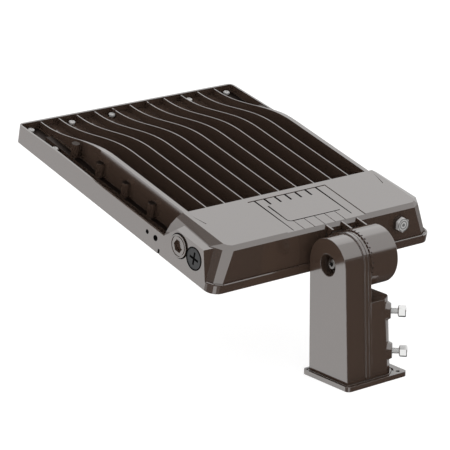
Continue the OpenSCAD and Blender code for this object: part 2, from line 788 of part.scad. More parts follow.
module driver_leads() color(rubber) on_head() for (i = [0, 1]) {
    translate([0, surge_rear + block_len * (i + 1) / 3, compartment_z + tray_t + block_h / 2]) {
        rod_x(lead_r, surge_x + surge_w / 2, driver_x - driver_len / 2);
        rod_x(lead_r, block_x + block_w / 2, surge_x - surge_w / 2);
    }
}

module on_side(y, z) {
    translate([-head_hw, y, z]) children();
}
module ring_plug() color(bronze_light) on_head() on_side(ring_plug_y, ring_plug_z) difference() {
    union() {
        rod_x(ring_plug_r, -plug_proud, plug_seat - seal_t);
        rod_x(ring_plug_r - plug_step, 0, plug_l);
    }
    difference() {
        rod_x(ring_plug_r - ring_w, -plug_proud - cut, -plug_proud + ring_w / 2);
        rod_x(ring_plug_r - 2 * ring_w, -plug_proud - 2 * cut, plug_seat);
    }
    translate([-plug_proud - cut, 0, 0]) rotate([30, 0, 0]) rotate([0, 90, 0])
        hex_rod(ring_socket_af, ring_socket_depth + cut);
}
module ring_plug_seal() color(rubber) on_head() on_side(ring_plug_y, ring_plug_z) difference() {
    rod_x(ring_plug_r, plug_seat - seal_t, plug_seat);
    rod_x(ring_plug_r - plug_step + fit, 0, plug_l);
}
module cross_plug() color(grey_plastic) on_head() on_side(cross_plug_y, cross_plug_z) difference() {
    union() {
        rod_x(cross_plug_r, 0, plug_seat);
        rod_x(cross_plug_r - plug_step, 0, plug_l);
    }
    for (a = [0, 90]) rotate([a, 0, 0])
        block(-cut, plug_seat - cut / 2, -cross_l / 2, cross_l / 2, -cross_w / 2, cross_w / 2);
}
module hex_plug() color(steel) on_head() on_rear(hex_plug_x, hex_plug_z) {
    translate([0, 0, washer_h]) rotate([0, 0, 30]) hex_rod(hex_plug_af, hex_plug_h);
    translate([0, 0, -hex_thread_l])
        cylinder(r = hex_thread_r, h = hex_thread_l + washer_h + cut);
}
module hex_plug_washer() color(rubber) on_head() on_rear(hex_plug_x, hex_plug_z) difference() {
    cylinder(r = hex_plug_af / 2 + cut, h = washer_h);
    translate([0, 0, -cut]) cylinder(r = hex_thread_r + fit, h = washer_h + 2 * cut);
}

module knuckle() color(bronze) difference() {
    union() {
        on_pivot() translate([knuckle_x, 0, 0]) rotate([0, 90, 0]) rotate_extrude()
            polygon(concat([[0, 0], [knuckle_r, 0]], arc_pts(knuckle_r - end_round, knuckle_l - end_round,
                end_round, 0, 90), [[0, knuckle_l]]));
        on_head() side_prism([[rear_y(neck_low) - gasket_wall_t, neck_low],
            [rear_y(neck_high) - gasket_wall_t, neck_high], [-pivot_back, pivot_up + neck_top],
            [-pivot_back, pivot_up - neck_bottom]], knuckle_x - head_x,
            knuckle_x + knuckle_l - neck_inset - head_x);
        on_head() side_prism(concat([[rear_y(neck_low) - gasket_wall_t, neck_low],
            [rear_y(neck_high) - gasket_wall_t, neck_high]],
            knuckle_arc(neck_high, neck_wing_low)), neck_x, neck_x + neck_w);
        for (i = [0:2]) on_head() rib(neck_x + i * (neck_w - rib_t) / 2, i == 0 ? first_rib_in : 0);
    }
    on_pivot() {
        rod_x(knuckle_bore_r - cap_step, knuckle_x + knuckle_wall, knuckle_x + knuckle_l + cut);
        rod_x(knuckle_bore_r, knuckle_x + knuckle_l - cap_t, knuckle_x + knuckle_l + cut);
        rod_x(bolt_r + fit, knuckle_x - cut, knuckle_x + knuckle_wall + cut);
        for (i = [0:notch_n - 1]) let (a = 360 * i / notch_n) if (abs(a - 270) > notch_free_angle)
            rotate([a, 0, 0]) block(knuckle_x - cut, knuckle_x + notch_l, -notch_w / 2, notch_w / 2,
                knuckle_r - notch_d, knuckle_r + cut);
    }
    translate([0, pivot_y, pivot_z]) rotate([wire_hole_angle, 0, 0]) translate([0, wire_hole_rad, 0])
        rod_x(wire_hole_r, knuckle_x - cut, knuckle_x + knuckle_wall + cut);
    on_head() on_rear(port_x, port_z) translate([0, 0, gasket_wall_t / 2])
        cylinder(r = port_r, h = pivot_back);
    on_head() knuckle_screw_places() translate([0, 0, gasket_wall_t / 2])
        cylinder(r = root_screw_r + fit, h = root_screw_l + cut);
}
// Points on a circle at distance d outside the knuckle, from height z1 down to z0 on the head's side
function knuckle_arc(z1, z0, d = neck_gap) = let (r = knuckle_r + d)
    arc_pts(-pivot_back, pivot_up, r, asin((z1 - pivot_up) / r), asin((z0 - pivot_up) / r));
// Rib from x on, whose end stays d short of the others'
module rib(x, d) {
    zs = housing_top - edge_h;
    root = [[rear_y(neck_high) - gasket_wall_t, neck_high - cut], [rear_y(zs) - neck_gap, zs],
        [top_rear - 2 * cut, rib_high]];
    side_prism(concat(root, knuckle_arc(rib_high, neck_high - cut, neck_gap + d)), x, x + rib_t);
}
module knuckle_gasket() color(rubber) on_head() difference() {
    side_prism([[rear_y(neck_low), neck_low], [rear_y(neck_high), neck_high],
        [rear_y(neck_high) - gasket_wall_t, neck_high], [rear_y(neck_low) - gasket_wall_t, neck_low]],
        neck_x, neck_x + neck_w);
    knuckle_screw_places() translate([0, 0, -cut])
        cylinder(r = root_screw_r + fit, h = gasket_wall_t + 2 * cut);
    on_rear(port_x, port_z) translate([0, 0, -cut])
        cylinder(r = port_r, h = gasket_wall_t + 2 * cut);
}
module knuckle_screws() color(steel) on_head() knuckle_screw_places() {
    translate([0, 0, -housing_t])
        cylinder(r = root_screw_r, h = housing_t + gasket_wall_t + root_screw_l - cut);
    translate([0, 0, -housing_t - root_head_h]) rotate([0, 0, 30])
        hex_rod(root_head_af, root_head_h);
}
module knuckle_cap() color(bronze) on_pivot()
    rod_x(knuckle_bore_r - fit, knuckle_x + knuckle_l - cap_t, knuckle_x + knuckle_l);

module on_axis() {
    translate([0, pivot_y, pivot_z]) children();
}
module tilt_bolt() color(steel) on_axis() {
    xs = arm_left_x + recess_depth - bolt_washer_t;
    difference() {
        union() {
            rod_x(bolt_head_r, xs - bolt_head_h + bolt_head_edge, xs);
            translate([xs - bolt_head_h, 0, 0]) rotate([0, 90, 0])
                cylinder(r1 = bolt_head_r - bolt_head_edge, r2 = bolt_head_r, h = bolt_head_edge);
        }
        translate([xs - bolt_head_h - cut, 0, 0]) rotate([0, 90, 0]) hex_rod(socket_af, socket_depth + cut);
    }
    rod_x(bolt_r, xs - cut, knuckle_x + knuckle_wall + bolt_washer_t + nut_h + bolt_tail);
}
module washer(x) {
    difference() {
        rod_x(bolt_washer_r, x, x + bolt_washer_t);
        rod_x(bolt_r + fit, x - cut, x + bolt_washer_t + cut);
    }
}
module tilt_washer() color(steel) on_axis() washer(arm_left_x + recess_depth - bolt_washer_t);
module nut_washer() color(steel) on_axis() washer(knuckle_x + knuckle_wall);
module tilt_nut() color(steel) on_pivot() difference() {
    x = knuckle_x + knuckle_wall + bolt_washer_t;
    translate([x, 0, 0]) rotate([0, 90, 0]) hex_rod(nut_af, nut_h);
    rod_x(bolt_r + fit, x - cut, x + nut_h + cut);
}

module tenon_bore() {
    translate([0, 0, -cut]) cylinder(r = tenon_r, h = tenon_depth + cut);
}
module seam_screw_places() {
    for (a = seam_screw_angles)
        on_axis() rotate([a, 0, 0]) translate([0, seam_screw_rad, 0]) children();
}
module flange_screw_places() {
    for (s = [-1, 1]) {
        translate([arm_left_x + flange_screw_in, s * (arm_d / 2 - flange_screw_in - cut), 0])
            children();
        rotate([0, 0, 45 * s]) translate([(tenon_r + foot_chamfer) / 2, 0, 0]) children();
    }
}
module arm_left() color(bronze) difference() {
    union() {
        side_prism(arm_pts(0), arm_left_x, seam_x - lip_t + cut);
        side_prism(arm_pts(lip_proud), seam_x - lip_t, seam_x);
    }
    tenon_bore();
    translate([cable_hole_x, 0, tenon_depth - cut]) cylinder(r = cable_hole_r, h = stop_t + 2 * cut);
    difference() {
        side_prism(concat([[arm_wall - arm_d / 2 + cut, tenon_depth + stop_t],
            [arm_d / 2 - arm_wall - cut, tenon_depth + stop_t]],
            arc_pts(pivot_y, pivot_z, arm_top_r - arm_wall, 0, 180, arm_steps)),
            arm_left_x + arm_wall, seam_x + cut);
        on_axis() rod_x(pivot_boss_r, arm_left_x, seam_x + 2 * cut);
        seam_screw_places() rod_x(seam_head_r + cut, arm_left_x, seam_x + 2 * cut);
    }
    on_axis() rod_x(recess_r, arm_left_x - cut, arm_left_x + recess_depth);
    on_axis() rod_x(bolt_r + fit, arm_left_x, seam_x + cut);
    seam_screw_places() rod_x(seam_screw_r + fit, arm_left_x + 2 * arm_wall, seam_x + cut);
    flange_screw_places() cylinder(r = flange_screw_r + fit, h = flange_screw_l + cut);
}
// Half outline of the right half's box, xr wide and hy deep, whose front face ends at xf
function box_half(xr, hy, xf) = [[xf, hy], [xr - corner_in, hy - corner_run],
    [xr, hy - corner_run - corner_lip]];
function box_plan(x0, xr, hy, xf) = let (h = concat([[x0, hy]], box_half(xr, hy, xf)))
    concat([for (v = h) [v.x, -v.y]], [for (i = [0:3]) h[3 - i]]);
function lift(pts, z) = [for (v = pts) [v.x, v.y, z]];
module clamp_places() {
    for (s = [-1, 1]) for (z = [clamp_low_z, clamp_high_z]) on_clamp(s, z) {
        $boss = boss_out(z);
        children();
    }
}
module arm_right() color(bronze) difference() {
    union() {
        side_prism(arm_pts(lip_proud), plate_x, box_x);
        wrap(concat(
            lift(box_plan(box_x - cut, box_r_foot, arm_d / 2, box_x + foot_face), flange_t),
            lift(box_plan(box_x - cut, box_r_top, arm_top_d / 2, box_x + top_face), arm_right_h)));
        clamp_places() translate([0, 0, boss_in])
            cylinder(r1 = boss_foot_r, r2 = boss_top_r, h = $boss - boss_in);
    }
    tenon_bore();
    on_axis() rod_x(bolt_r + fit, plate_x - cut, box_x + cut);
    seam_screw_places() {
        rod_x(seam_screw_r + fit, plate_x - cut, box_x + cut);
        translate([box_x - seam_head_h, 0, 0]) rotate([0, 90, 0])
            cylinder(r1 = seam_screw_r + fit, r2 = seam_head_r + fit, h = seam_head_h);
        rod_x(seam_head_r + fit, box_x, box_x + cut);
    }
    wire_hole() rod_x(wire_hole_r, plate_x - cut, box_x + cut);
    clamp_places() translate([0, 0, tenon_r - 2 * cut])
        cylinder(r = clamp_r + fit, h = $boss - tenon_r + 3 * cut);
    flange_screw_places() cylinder(r = flange_screw_r + fit, h = flange_screw_l + cut);
}
module wire_hole() {
    on_axis() rotate([wire_hole_angle, 0, 0]) translate([0, wire_hole_rad, 0]) children();
}
module seam_gasket() color(rubber) difference() {
    side_prism(arm_pts(lip_proud - seam_t), seam_x, plate_x);
    side_prism(concat([[-arm_d / 2 + seam_ring_w, 0], [arm_d / 2 - seam_ring_w, 0]],
        arc_pts(pivot_y, pivot_z, arm_top_r - seam_ring_w, 0, 180, arm_steps)), seam_x - cut, plate_x + cut);
}
module seam_screws() color(steel) seam_screw_places() {
    rod_x(seam_screw_r, box_x - seam_screw_l, box_x - seam_head_h);
    translate([box_x - seam_head_h, 0, 0]) rotate([0, 90, 0])
        cylinder(r1 = seam_screw_r, r2 = seam_head_r, h = seam_head_h);
}
module cable_grommet() color(rubber) wire_hole() difference() {
    rod_x(wire_hole_r - fit, plate_x, box_x);
    rod_x(wire_hole_r / 2, plate_x - cut, box_x + cut);
}
function foot_pts(d) =
    box_plan(arm_left_x - d, box_r_foot + d, arm_d / 2 + d, box_x + foot_face + d);
module base_flange() color(bronze) difference() {
    linear_extrude(flange_t) polygon(concat(
        arc_pts(-flange_w / 2 + flange_r, -flange_d / 2 + flange_r, flange_r, 180, 270),
        arc_pts(flange_w / 2 - flange_r, -flange_d / 2 + flange_r, flange_r, 270, 360),
        arc_pts(flange_w / 2 - flange_r, flange_d / 2 - flange_r, flange_r, 0, 90),
        arc_pts(-flange_w / 2 + flange_r, flange_d / 2 - flange_r, flange_r, 90, 180)));
    tenon_bore();
    for (s = [-1, 1]) translate([flange_hole_x, s * flange_hole_y, -cut])
        cylinder(r = flange_hole_r, h = flange_t + 2 * cut);
    difference() {
        translate([0, 0, flange_t - foot_groove_d]) linear_extrude(flange_t)
            polygon(foot_pts(lip_proud + foot_groove + fit));
        linear_extrude(2 * flange_t) polygon(foot_pts(lip_proud + fit));
    }
    flange_screw_places() translate([0, 0, -cut]) {
        cylinder(r = flange_screw_r + fit, h = flange_t + 2 * cut);
        cylinder(r = flange_head_r + fit, h = flange_head_h + cut);
    }
}
module flange_screws() color(steel) flange_screw_places() difference() {
    union() {
        cylinder(r = flange_head_r, h = flange_head_h);
        translate([0, 0, flange_head_h - cut])
            cylinder(r = flange_screw_r, h = flange_screw_l - flange_head_h);
    }
    translate([0, 0, -cut]) hex_rod(flange_screw_r * 2, flange_head_h);
}
module clamp_bolt(s, z) color(steel) on_clamp(s, z) {
    seat = boss_out(z) + clamp_gap;
    translate([0, 0, clamp_tip]) cylinder(r = clamp_r, h = seat - clamp_tip + cut);
    translate([0, 0, seat]) hex_rod(clamp_head_af, clamp_head_h);
}

heat_sink_body();
driver_door();
door_gasket();
door_screws();
optic_frame();
frame_screws();
led_board(-1);  // led_board_left
led_board(1);  // led_board_right
lens_panel(-1, 1);  // lens_front_left
lens_panel(1, 1);  // lens_front_right
lens_panel(-1, -1);  // lens_rear_left
lens_panel(1, -1);  // lens_rear_right
lens_gaskets();
board_leads();
led_driver();
driver_tray();
tray_screws();
surge_protector();
terminal_block();
driver_leads();
ring_plug();
ring_plug_seal();
cross_plug();
hex_plug();
hex_plug_washer();
knuckle();
knuckle_gasket();
knuckle_screws();
knuckle_cap();
tilt_bolt();
tilt_washer();
nut_washer();
tilt_nut();
arm_left();
arm_right();
seam_gasket();
seam_screws();
cable_grommet();
base_flange();
flange_screws();
clamp_bolt(-1, clamp_low_z);  // clamp_bolt_rear_low
clamp_bolt(-1, clamp_high_z);  // clamp_bolt_rear_high
clamp_bolt(1, clamp_low_z);  // clamp_bolt_front_low
clamp_bolt(1, clamp_high_z);  // clamp_bolt_front_high
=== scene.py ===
# %% [markdown]
# # A bronze area light, dressed for its portrait
#
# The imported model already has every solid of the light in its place. This lesson adds a camera, a room of
# light, the finishes, and the small details that a solid model leaves out. Each step first says what the
# thing is on the real light, then how it could be made, and then why it is made the way it is.

# %% Load the model
import math

import bmesh
import bpy
from mathutils import Matrix, Vector


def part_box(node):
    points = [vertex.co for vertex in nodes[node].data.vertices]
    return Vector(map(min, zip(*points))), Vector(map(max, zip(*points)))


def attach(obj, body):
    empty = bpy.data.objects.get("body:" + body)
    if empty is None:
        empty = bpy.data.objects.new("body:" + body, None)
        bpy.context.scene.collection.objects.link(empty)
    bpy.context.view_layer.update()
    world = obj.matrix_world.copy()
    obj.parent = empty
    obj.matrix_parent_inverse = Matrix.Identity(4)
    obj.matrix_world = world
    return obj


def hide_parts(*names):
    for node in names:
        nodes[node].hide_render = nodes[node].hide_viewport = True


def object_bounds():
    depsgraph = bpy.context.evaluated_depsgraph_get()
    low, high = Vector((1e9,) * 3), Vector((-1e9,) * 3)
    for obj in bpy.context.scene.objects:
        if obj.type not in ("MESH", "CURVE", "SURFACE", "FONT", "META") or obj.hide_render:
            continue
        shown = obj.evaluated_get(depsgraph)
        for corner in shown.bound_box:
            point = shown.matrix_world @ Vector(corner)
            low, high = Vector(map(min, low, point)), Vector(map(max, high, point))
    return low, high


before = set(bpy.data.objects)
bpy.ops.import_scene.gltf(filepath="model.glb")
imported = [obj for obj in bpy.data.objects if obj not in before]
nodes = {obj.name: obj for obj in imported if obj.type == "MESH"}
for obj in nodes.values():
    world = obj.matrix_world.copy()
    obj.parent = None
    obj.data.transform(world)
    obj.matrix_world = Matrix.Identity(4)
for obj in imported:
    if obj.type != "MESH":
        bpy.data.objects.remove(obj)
model_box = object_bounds()
print("solids:", len(nodes))
print("model box:", model_box)


# %% [markdown]
# ## The camera
# The photograph looks at the light from its rear left and a little above. A long lens keeps the upright
# edges nearly parallel. The angles and the place were found by matching corners of the light with the
# photograph, so they are plain numbers here. A camera could also be aimed with a Track To constraint, but
# then its place and its aim would hang together, and fixed angles are easier to read.

# %% Camera
camera_spot = (-1.97186, -2.23281, 1.12361)
view_turn = -38.23
view_down = 17.22
lens_length = 196.73
sensor_width = 36
far_limit = 50
bpy.ops.object.select_all(action="DESELECT")
bpy.ops.object.camera_add(
    location=camera_spot,
    rotation=(math.radians(90 - view_down), 0, math.radians(view_turn)),
)
camera = bpy.context.object
camera.name = "portrait_camera"
camera.data.lens = lens_length
camera.data.sensor_width = sensor_width
camera.data.clip_end = far_limit
bpy.context.scene.camera = camera
bpy.context.scene.view_settings.view_transform = "Standard"
print("camera stands at", tuple(round(v, 3) for v in camera.location))


# %% [markdown]
# ## Building node trees
# Every finish below is a small tree of shader nodes. Two helpers keep each tree readable: one adds a node
# and sets its fields, the other joins an output to an input by name or number.

# %% Node helpers
def add_node(tree, kind, label="", **fields):
    """Adds one shader node. Fields are attributes of the node, such as operation or blend_type."""
    node = tree.nodes.new(kind)
    node.label = label
    for name, value in fields.items():
        setattr(node, name, value)
    return node


def join(tree, source, source_socket, target, target_socket):
    """Joins an output to an input. A socket is given by its name or its number."""
    tree.links.new(source.outputs[source_socket], target.inputs[target_socket])


def calculate(tree, operation, first, second=None, limit=False):
    """A Math node. Each of its values is a number or a pair of node and socket."""
    node = add_node(tree, "ShaderNodeMath", operation=operation, use_clamp=limit)
    for number, value in enumerate((first, second)):
        if value is None:
            continue
        if isinstance(value, tuple):
            join(tree, value[0], value[1], node, number)
        else:
            node.inputs[number].default_value = value
    return node


print("helpers ready")


# %% [markdown]
# ## The room of light
# Glossy paint shows what stands round it, so the light's look is mostly the look of its room. A real studio
# would have soft white panels with dark gaps between them. They could be modelled as glowing boards, but
# boards get in the way of other views. A world shader does the same with no geometry: it reads the
# direction of a ray, turns it into a compass angle and a height, and gives each zone of the room its own
# brightness. Only reflections see these zones. Matt shading gets an even white, so colours stay true, and
# the camera sees a plain white background.

# %% Zone helper
def zone_mask(tree, angle, low, high, soft):
    """A value that is 1 between two limits and fades to 0 over a soft edge."""
    rise = add_node(tree, "ShaderNodeMapRange", interpolation_type="SMOOTHSTEP")
    join(tree, angle[0], angle[1], rise, "Value")
    rise.inputs["From Min"].default_value = low - soft
    rise.inputs["From Max"].default_value = low + soft
    fall = add_node(tree, "ShaderNodeMapRange", interpolation_type="SMOOTHSTEP")
    join(tree, angle[0], angle[1], fall, "Value")
    fall.inputs["From Min"].default_value = high - soft
    fall.inputs["From Max"].default_value = high + soft
    fall.inputs["To Min"].default_value = 1
    fall.inputs["To Max"].default_value = 0
    return calculate(tree, "MULTIPLY", (rise, 0), (fall, 0))


print("zone helper ready")


# %% [markdown]
# Each zone has a title, then the left and right limits and the softness of its compass angles, the same
# three for its heights, and last its brightness. Angles are in degrees. The compass starts at the right of
# the light and turns to its front, and a later zone covers an earlier one.

# %% Zones of the room
room_brightness = 0.95
room_zones = [
    ("dark floor", -1, 361, 1, -100, -58, 6, 0.08),
    ("dark wall behind the camera", 264, 348, 3, -100, 20, 5, 0.02),
    ("dark ground in front", 345, 361, 1, -100, -20, 4, 0.04),
    ("dark ground at the right", -1, 70, 3, -100, -20, 4, 0.04),
    ("dark gap at the left", 140, 212, 6, -60, 19, 4, 0.09),
    ("grey wall at the right", 1, 22, 4, -26, 6, 4, 0.4),
    ("bright wall at the left", 106, 138, 3, -60, 20, 4, 1.12),
    ("bright ceiling in front", 12, 66, 6, 22, 62, 5, 1.42),
    ("dim ceiling at the left", 70, 113, 4, 33, 68, 4, 0.25),
]
print("zones in the room:", len(room_zones))


# %% [markdown]
# The table could be typed in as a long chain of nodes. A loop builds the chain instead: each turn makes one
# mask out of the two ranges and blends its brightness over all that came before.

# %% World
world = bpy.data.worlds.new("studio_room")
bpy.context.scene.world = world
world.use_nodes = True
world.cycles.sampling_method = "NONE"
room = world.node_tree
room.nodes.clear()
degrees_each = 180 / math.pi
full_turn = 360
direction = add_node(room, "ShaderNodeTexCoord")
split = add_node(room, "ShaderNodeSeparateXYZ")
join(room, direction, "Generated", split, 0)
compass = calculate(room, "ARCTAN2", (split, 1), (split, 0))
compass = calculate(room, "MULTIPLY", (compass, 0), degrees_each)
compass = calculate(room, "ADD", (compass, 0), full_turn)
compass = calculate(room, "MODULO", (compass, 0), full_turn)
height = calculate(room, "ARCSINE", (split, 2))
height = calculate(room, "MULTIPLY", (height, 0), degrees_each)
brightness = None
for title, left, right, side_soft, low, high, high_soft, value in room_zones:
    around = zone_mask(room, (compass, 0), left, right, side_soft)
    upward = zone_mask(room, (height, 0), low, high, high_soft)
    mask = calculate(room, "MULTIPLY", (around, 0), (upward, 0))
    blend = add_node(room, "ShaderNodeMix", title, data_type="FLOAT")
    join(room, mask, 0, blend, "Factor")
    if brightness is None:
        blend.inputs[2].default_value = room_brightness
    else:
        join(room, brightness, 0, blend, 2)
    blend.inputs[3].default_value = value
    brightness = blend
print("nodes in the room:", len(room.nodes))


# %% [markdown]
# A Light Path node knows what kind of ray asks. Glossy rays get the zones, and all others get plain white.
# More lamps could make a backdrop white as well, but they would make the light itself too bright.

# %% World output
rays = add_node(room, "ShaderNodeLightPath")
plain = add_node(room, "ShaderNodeBackground", "white for the camera and for matt shading")
zoned = add_node(room, "ShaderNodeBackground", "zones for reflections")
join(room, brightness, 0, zoned, "Strength")
choice = add_node(room, "ShaderNodeMixShader")
join(room, rays, "Is Glossy Ray", choice, 0)
join(room, plain, 0, choice, 1)
join(room, zoned, 0, choice, 2)
plain.inputs["Color"].default_value = (1, 1, 1, 1)
zoned.inputs["Color"].default_value = (1, 1, 1, 1)
room_out = add_node(room, "ShaderNodeOutputWorld")
join(room, choice, 0, room_out, 0)
print("the room is joined to", room_out.name)


# %% [markdown]
# ## The floor
# The floor only has to catch a faint shadow under the foot. A large plane with a pale matt finish that
# also glows a little stays white to the camera, and reflections pass it by, so the zones of the room reach
# under the light as well. Its underside lets the camera through, so the lenses can be looked at from below.

# %% Floor
floor_size = 30
floor_gap = 0.0004
floor_glow = 0.85
floor_grey = 0.3
bpy.ops.object.select_all(action="DESELECT")
bpy.ops.mesh.primitive_plane_add(size=floor_size, location=(0, 0, model_box[0][2] - floor_gap))
floor = bpy.context.object
floor.name = "studio_floor"
floor.visible_glossy = False
floor_finish = bpy.data.materials.new("studio_floor")
floor_finish.use_nodes = True
tree = floor_finish.node_tree
tree.nodes.clear()
glow = add_node(tree, "ShaderNodeEmission")
glow.inputs["Strength"].default_value = floor_glow
matt = add_node(tree, "ShaderNodeBsdfDiffuse")
matt.inputs["Color"].default_value = (floor_grey, floor_grey, floor_grey, 1)
both = add_node(tree, "ShaderNodeAddShader")
join(tree, glow, 0, both, 0)
join(tree, matt, 0, both, 1)
clear = add_node(tree, "ShaderNodeBsdfTransparent")
side = add_node(tree, "ShaderNodeNewGeometry")
pick = add_node(tree, "ShaderNodeMixShader")
join(tree, side, "Backfacing", pick, 0)
join(tree, both, 0, pick, 1)
join(tree, clear, 0, pick, 2)
out = add_node(tree, "ShaderNodeOutputMaterial")
join(tree, pick, 0, out, 0)
floor.data.materials.append(floor_finish)
print("floor height:", round(floor.location.z, 4))


# %% [markdown]
# ## Shared effects
# Three effects return in many finishes, so each is a node group with named inputs: the skin, the wear along
# edges, and the dust. Their nodes could be repeated in each finish, but then a change would have to be made
# many times over.

# %% Group helper
def new_group(name, inputs, outputs):
    """An empty node group. Inputs are (name, kind, value) and outputs are (name, kind)."""
    group = bpy.data.node_groups.new(name, "ShaderNodeTree")
    for title, kind, value in inputs:
        socket = group.interface.new_socket(title, in_out="INPUT", socket_type=kind)
        socket.default_value = value
    for title, kind in outputs:
        group.interface.new_socket(title, in_out="OUTPUT", socket_type=kind)
    entry = group.nodes.new("NodeGroupInput")
    leave = group.nodes.new("NodeGroupOutput")
    return group, entry, leave


def use_group(tree, group, **values):
    """Places a group in a finish and sets its inputs. An underscore stands for a space."""
    node = add_node(tree, "ShaderNodeGroup", node_tree=group)
    for name, value in values.items():
        node.inputs[name.replace("_", " ").capitalize()].default_value = value
    return node


print("group helpers ready")


# %% [markdown]
# The skin rounds sharp edges in the shading and adds a fine bump. Rounded edges could also be modelled with
# a Bevel modifier, but the solids come as loose triangles that stay as they are, and the Bevel shader node
# needs no change of the mesh.

# %% Skin group
rounding_samples = 6
bump_height = 0.0002
skin, entry, leave = new_group(
    "skin",
    [
        ("Edge radius", "NodeSocketFloat", 0.0004),
        ("Grain size", "NodeSocketFloat", 900),
        ("Grain depth", "NodeSocketFloat", 0.1),
        ("Stretch", "NodeSocketVector", (1, 1, 1)),
    ],
    [("Normal", "NodeSocketVector"), ("Grain", "NodeSocketFloat")],
)
place = add_node(skin, "ShaderNodeTexCoord")
stretch = add_node(skin, "ShaderNodeVectorMath", operation="MULTIPLY")
join(skin, place, "Object", stretch, 0)
join(skin, entry, "Stretch", stretch, 1)
grain = add_node(skin, "ShaderNodeTexNoise")
grain.inputs["Detail"].default_value = 2
join(skin, stretch, 0, grain, "Vector")
join(skin, entry, "Grain size", grain, "Scale")
rounded = add_node(skin, "ShaderNodeBevel", samples=rounding_samples)
join(skin, entry, "Edge radius", rounded, "Radius")
bump = add_node(skin, "ShaderNodeBump")
bump.inputs["Distance"].default_value = bump_height
join(skin, entry, "Grain depth", bump, "Strength")
join(skin, grain, "Fac", bump, "Height")
join(skin, rounded, 0, bump, "Normal")
join(skin, bump, 0, leave, "Normal")
join(skin, grain, "Fac", leave, "Grain")
print("skin group nodes:", len(skin.nodes))


# %% [markdown]
# Paint wears first along edges. Edges could be marked by hand, but the Bevel node finds them: where its
# rounded normal departs from the true one, there is an edge. A noise breaks the wear into patches. The same
# mask also paints light along edges: a lighter edge colour is partly a painted highlight, a darker one
# painted shade.

# %% Edge wear group
edge_wear_and_light, entry, leave = new_group(
    "edge_wear_and_light",
    [
        ("Radius", "NodeSocketFloat", 0.0008),
        ("Amount", "NodeSocketFloat", 1),
        ("Scale", "NodeSocketFloat", 160),
    ],
    [("Mask", "NodeSocketFloat")],
)
rounded = add_node(edge_wear_and_light, "ShaderNodeBevel", samples=rounding_samples)
join(edge_wear_and_light, entry, "Radius", rounded, "Radius")
true_side = add_node(edge_wear_and_light, "ShaderNodeNewGeometry")
match = add_node(edge_wear_and_light, "ShaderNodeVectorMath", operation="DOT_PRODUCT")
join(edge_wear_and_light, rounded, 0, match, 0)
join(edge_wear_and_light, true_side, "Normal", match, 1)
apart = calculate(edge_wear_and_light, "SUBTRACT", 1, (match, "Value"), limit=True)
patches = add_node(edge_wear_and_light, "ShaderNodeTexNoise")
place = add_node(edge_wear_and_light, "ShaderNodeTexCoord")
join(edge_wear_and_light, place, "Object", patches, "Vector")
join(edge_wear_and_light, entry, "Scale", patches, "Scale")
patches.inputs["Detail"].default_value = 4
gain = calculate(edge_wear_and_light, "MULTIPLY", (apart, 0), (entry, "Amount"))
worn = calculate(edge_wear_and_light, "MULTIPLY", (gain, 0), (patches, "Fac"), limit=True)
join(edge_wear_and_light, worn, 0, leave, "Mask")
print("edge wear group nodes:", len(edge_wear_and_light.nodes))


# %% [markdown]
# Dust settles on what faces up. The upward part of the normal, raised to a power, keeps it off the slopes,
# and a soft noise makes it cloudy.

# %% Dust group
dust, entry, leave = new_group(
    "dust",
    [("Amount", "NodeSocketFloat", 0.1), ("Scale", "NodeSocketFloat", 25)],
    [("Mask", "NodeSocketFloat")],
)
facing = add_node(dust, "ShaderNodeNewGeometry")
parts = add_node(dust, "ShaderNodeSeparateXYZ")
join(dust, facing, "Normal", parts, 0)
upward = calculate(dust, "MAXIMUM", (parts, 2), 0)
upward = calculate(dust, "POWER", (upward, 0), 3)
clouds = add_node(dust, "ShaderNodeTexNoise")
place = add_node(dust, "ShaderNodeTexCoord")
join(dust, place, "Object", clouds, "Vector")
join(dust, entry, "Scale", clouds, "Scale")
clouds.inputs["Detail"].default_value = 6
cover = calculate(dust, "MULTIPLY", (upward, 0), (clouds, "Fac"))
cover = calculate(dust, "MULTIPLY", (cover, 0), (entry, "Amount"), limit=True)
join(dust, cover, 0, leave, "Mask")
print("dust group nodes:", len(dust.nodes))


# %% [markdown]
# ## Places on the head
# The head is tilted, so its plugs are placed in its own frame first: the origin in the middle of its lower
# rear edge, X to the right, Y to the front, and Z up through its top. One matrix carries all of them over.

# %% Head frame
head_tilt = 14
tilt_axis = (-0.010, 0.0035, 0.1565)
head_from_axis = (0, 0.0395, -0.033)
head_turn = Matrix.Rotation(math.radians(head_tilt), 4, "X")
head_place = Matrix.Translation(tilt_axis) @ head_turn @ Matrix.Translation(head_from_axis)
print("head origin:", head_place.to_translation())


# %% [markdown]
# ## The finishes
# Each finish is made by a function. It sets what is the same all over on the shader itself, and lets the
# groups vary colour, roughness and normal. Three small helpers come first: a new finish, a blend of two
# colours, and a value that stays within a range.

# %% Finish helpers
def new_finish(name, **values):
    """A material with a Principled shader, whose plain sockets are set here."""
    finish = bpy.data.materials.new(name)
    finish.use_nodes = True
    shader = finish.node_tree.nodes["Principled BSDF"]
    for title, value in values.items():
        shader.inputs[title.replace("_", " ")].default_value = value
    return finish, finish.node_tree, shader


def mix_colour(tree, mask, first, second):
    """Blends two colours by a mask. Each is a colour or a pair of node and socket."""
    blend = add_node(tree, "ShaderNodeMix", data_type="RGBA")
    join(tree, mask[0], mask[1], blend, 0)
    for number, value in ((6, first), (7, second)):
        if isinstance(value, tuple) and len(value) == 2:
            join(tree, value[0], value[1], blend, number)
        else:
            blend.inputs[number].default_value = value
    return blend


def between(tree, value, low, high):
    """Maps a 0 to 1 value to a narrower range."""
    spread = add_node(tree, "ShaderNodeMapRange")
    join(tree, value[0], value[1], spread, "Value")
    spread.inputs["To Min"].default_value = low
    spread.inputs["To Max"].default_value = high
    return spread


print("finish helpers ready")


# %% [markdown]
# Glossy faces mirror each other, and on the real light such mirror images are dull. A Light Path node picks
# a matt stand-in for rays that come from another glossy face, so mirrored edges and bolts stay quiet, and
# the camera still sees the glossy film. Turning the gloss down would dull the whole light.

# %% Quiet mirror images
dull_brown = (0.05, 0.033, 0.025, 1)


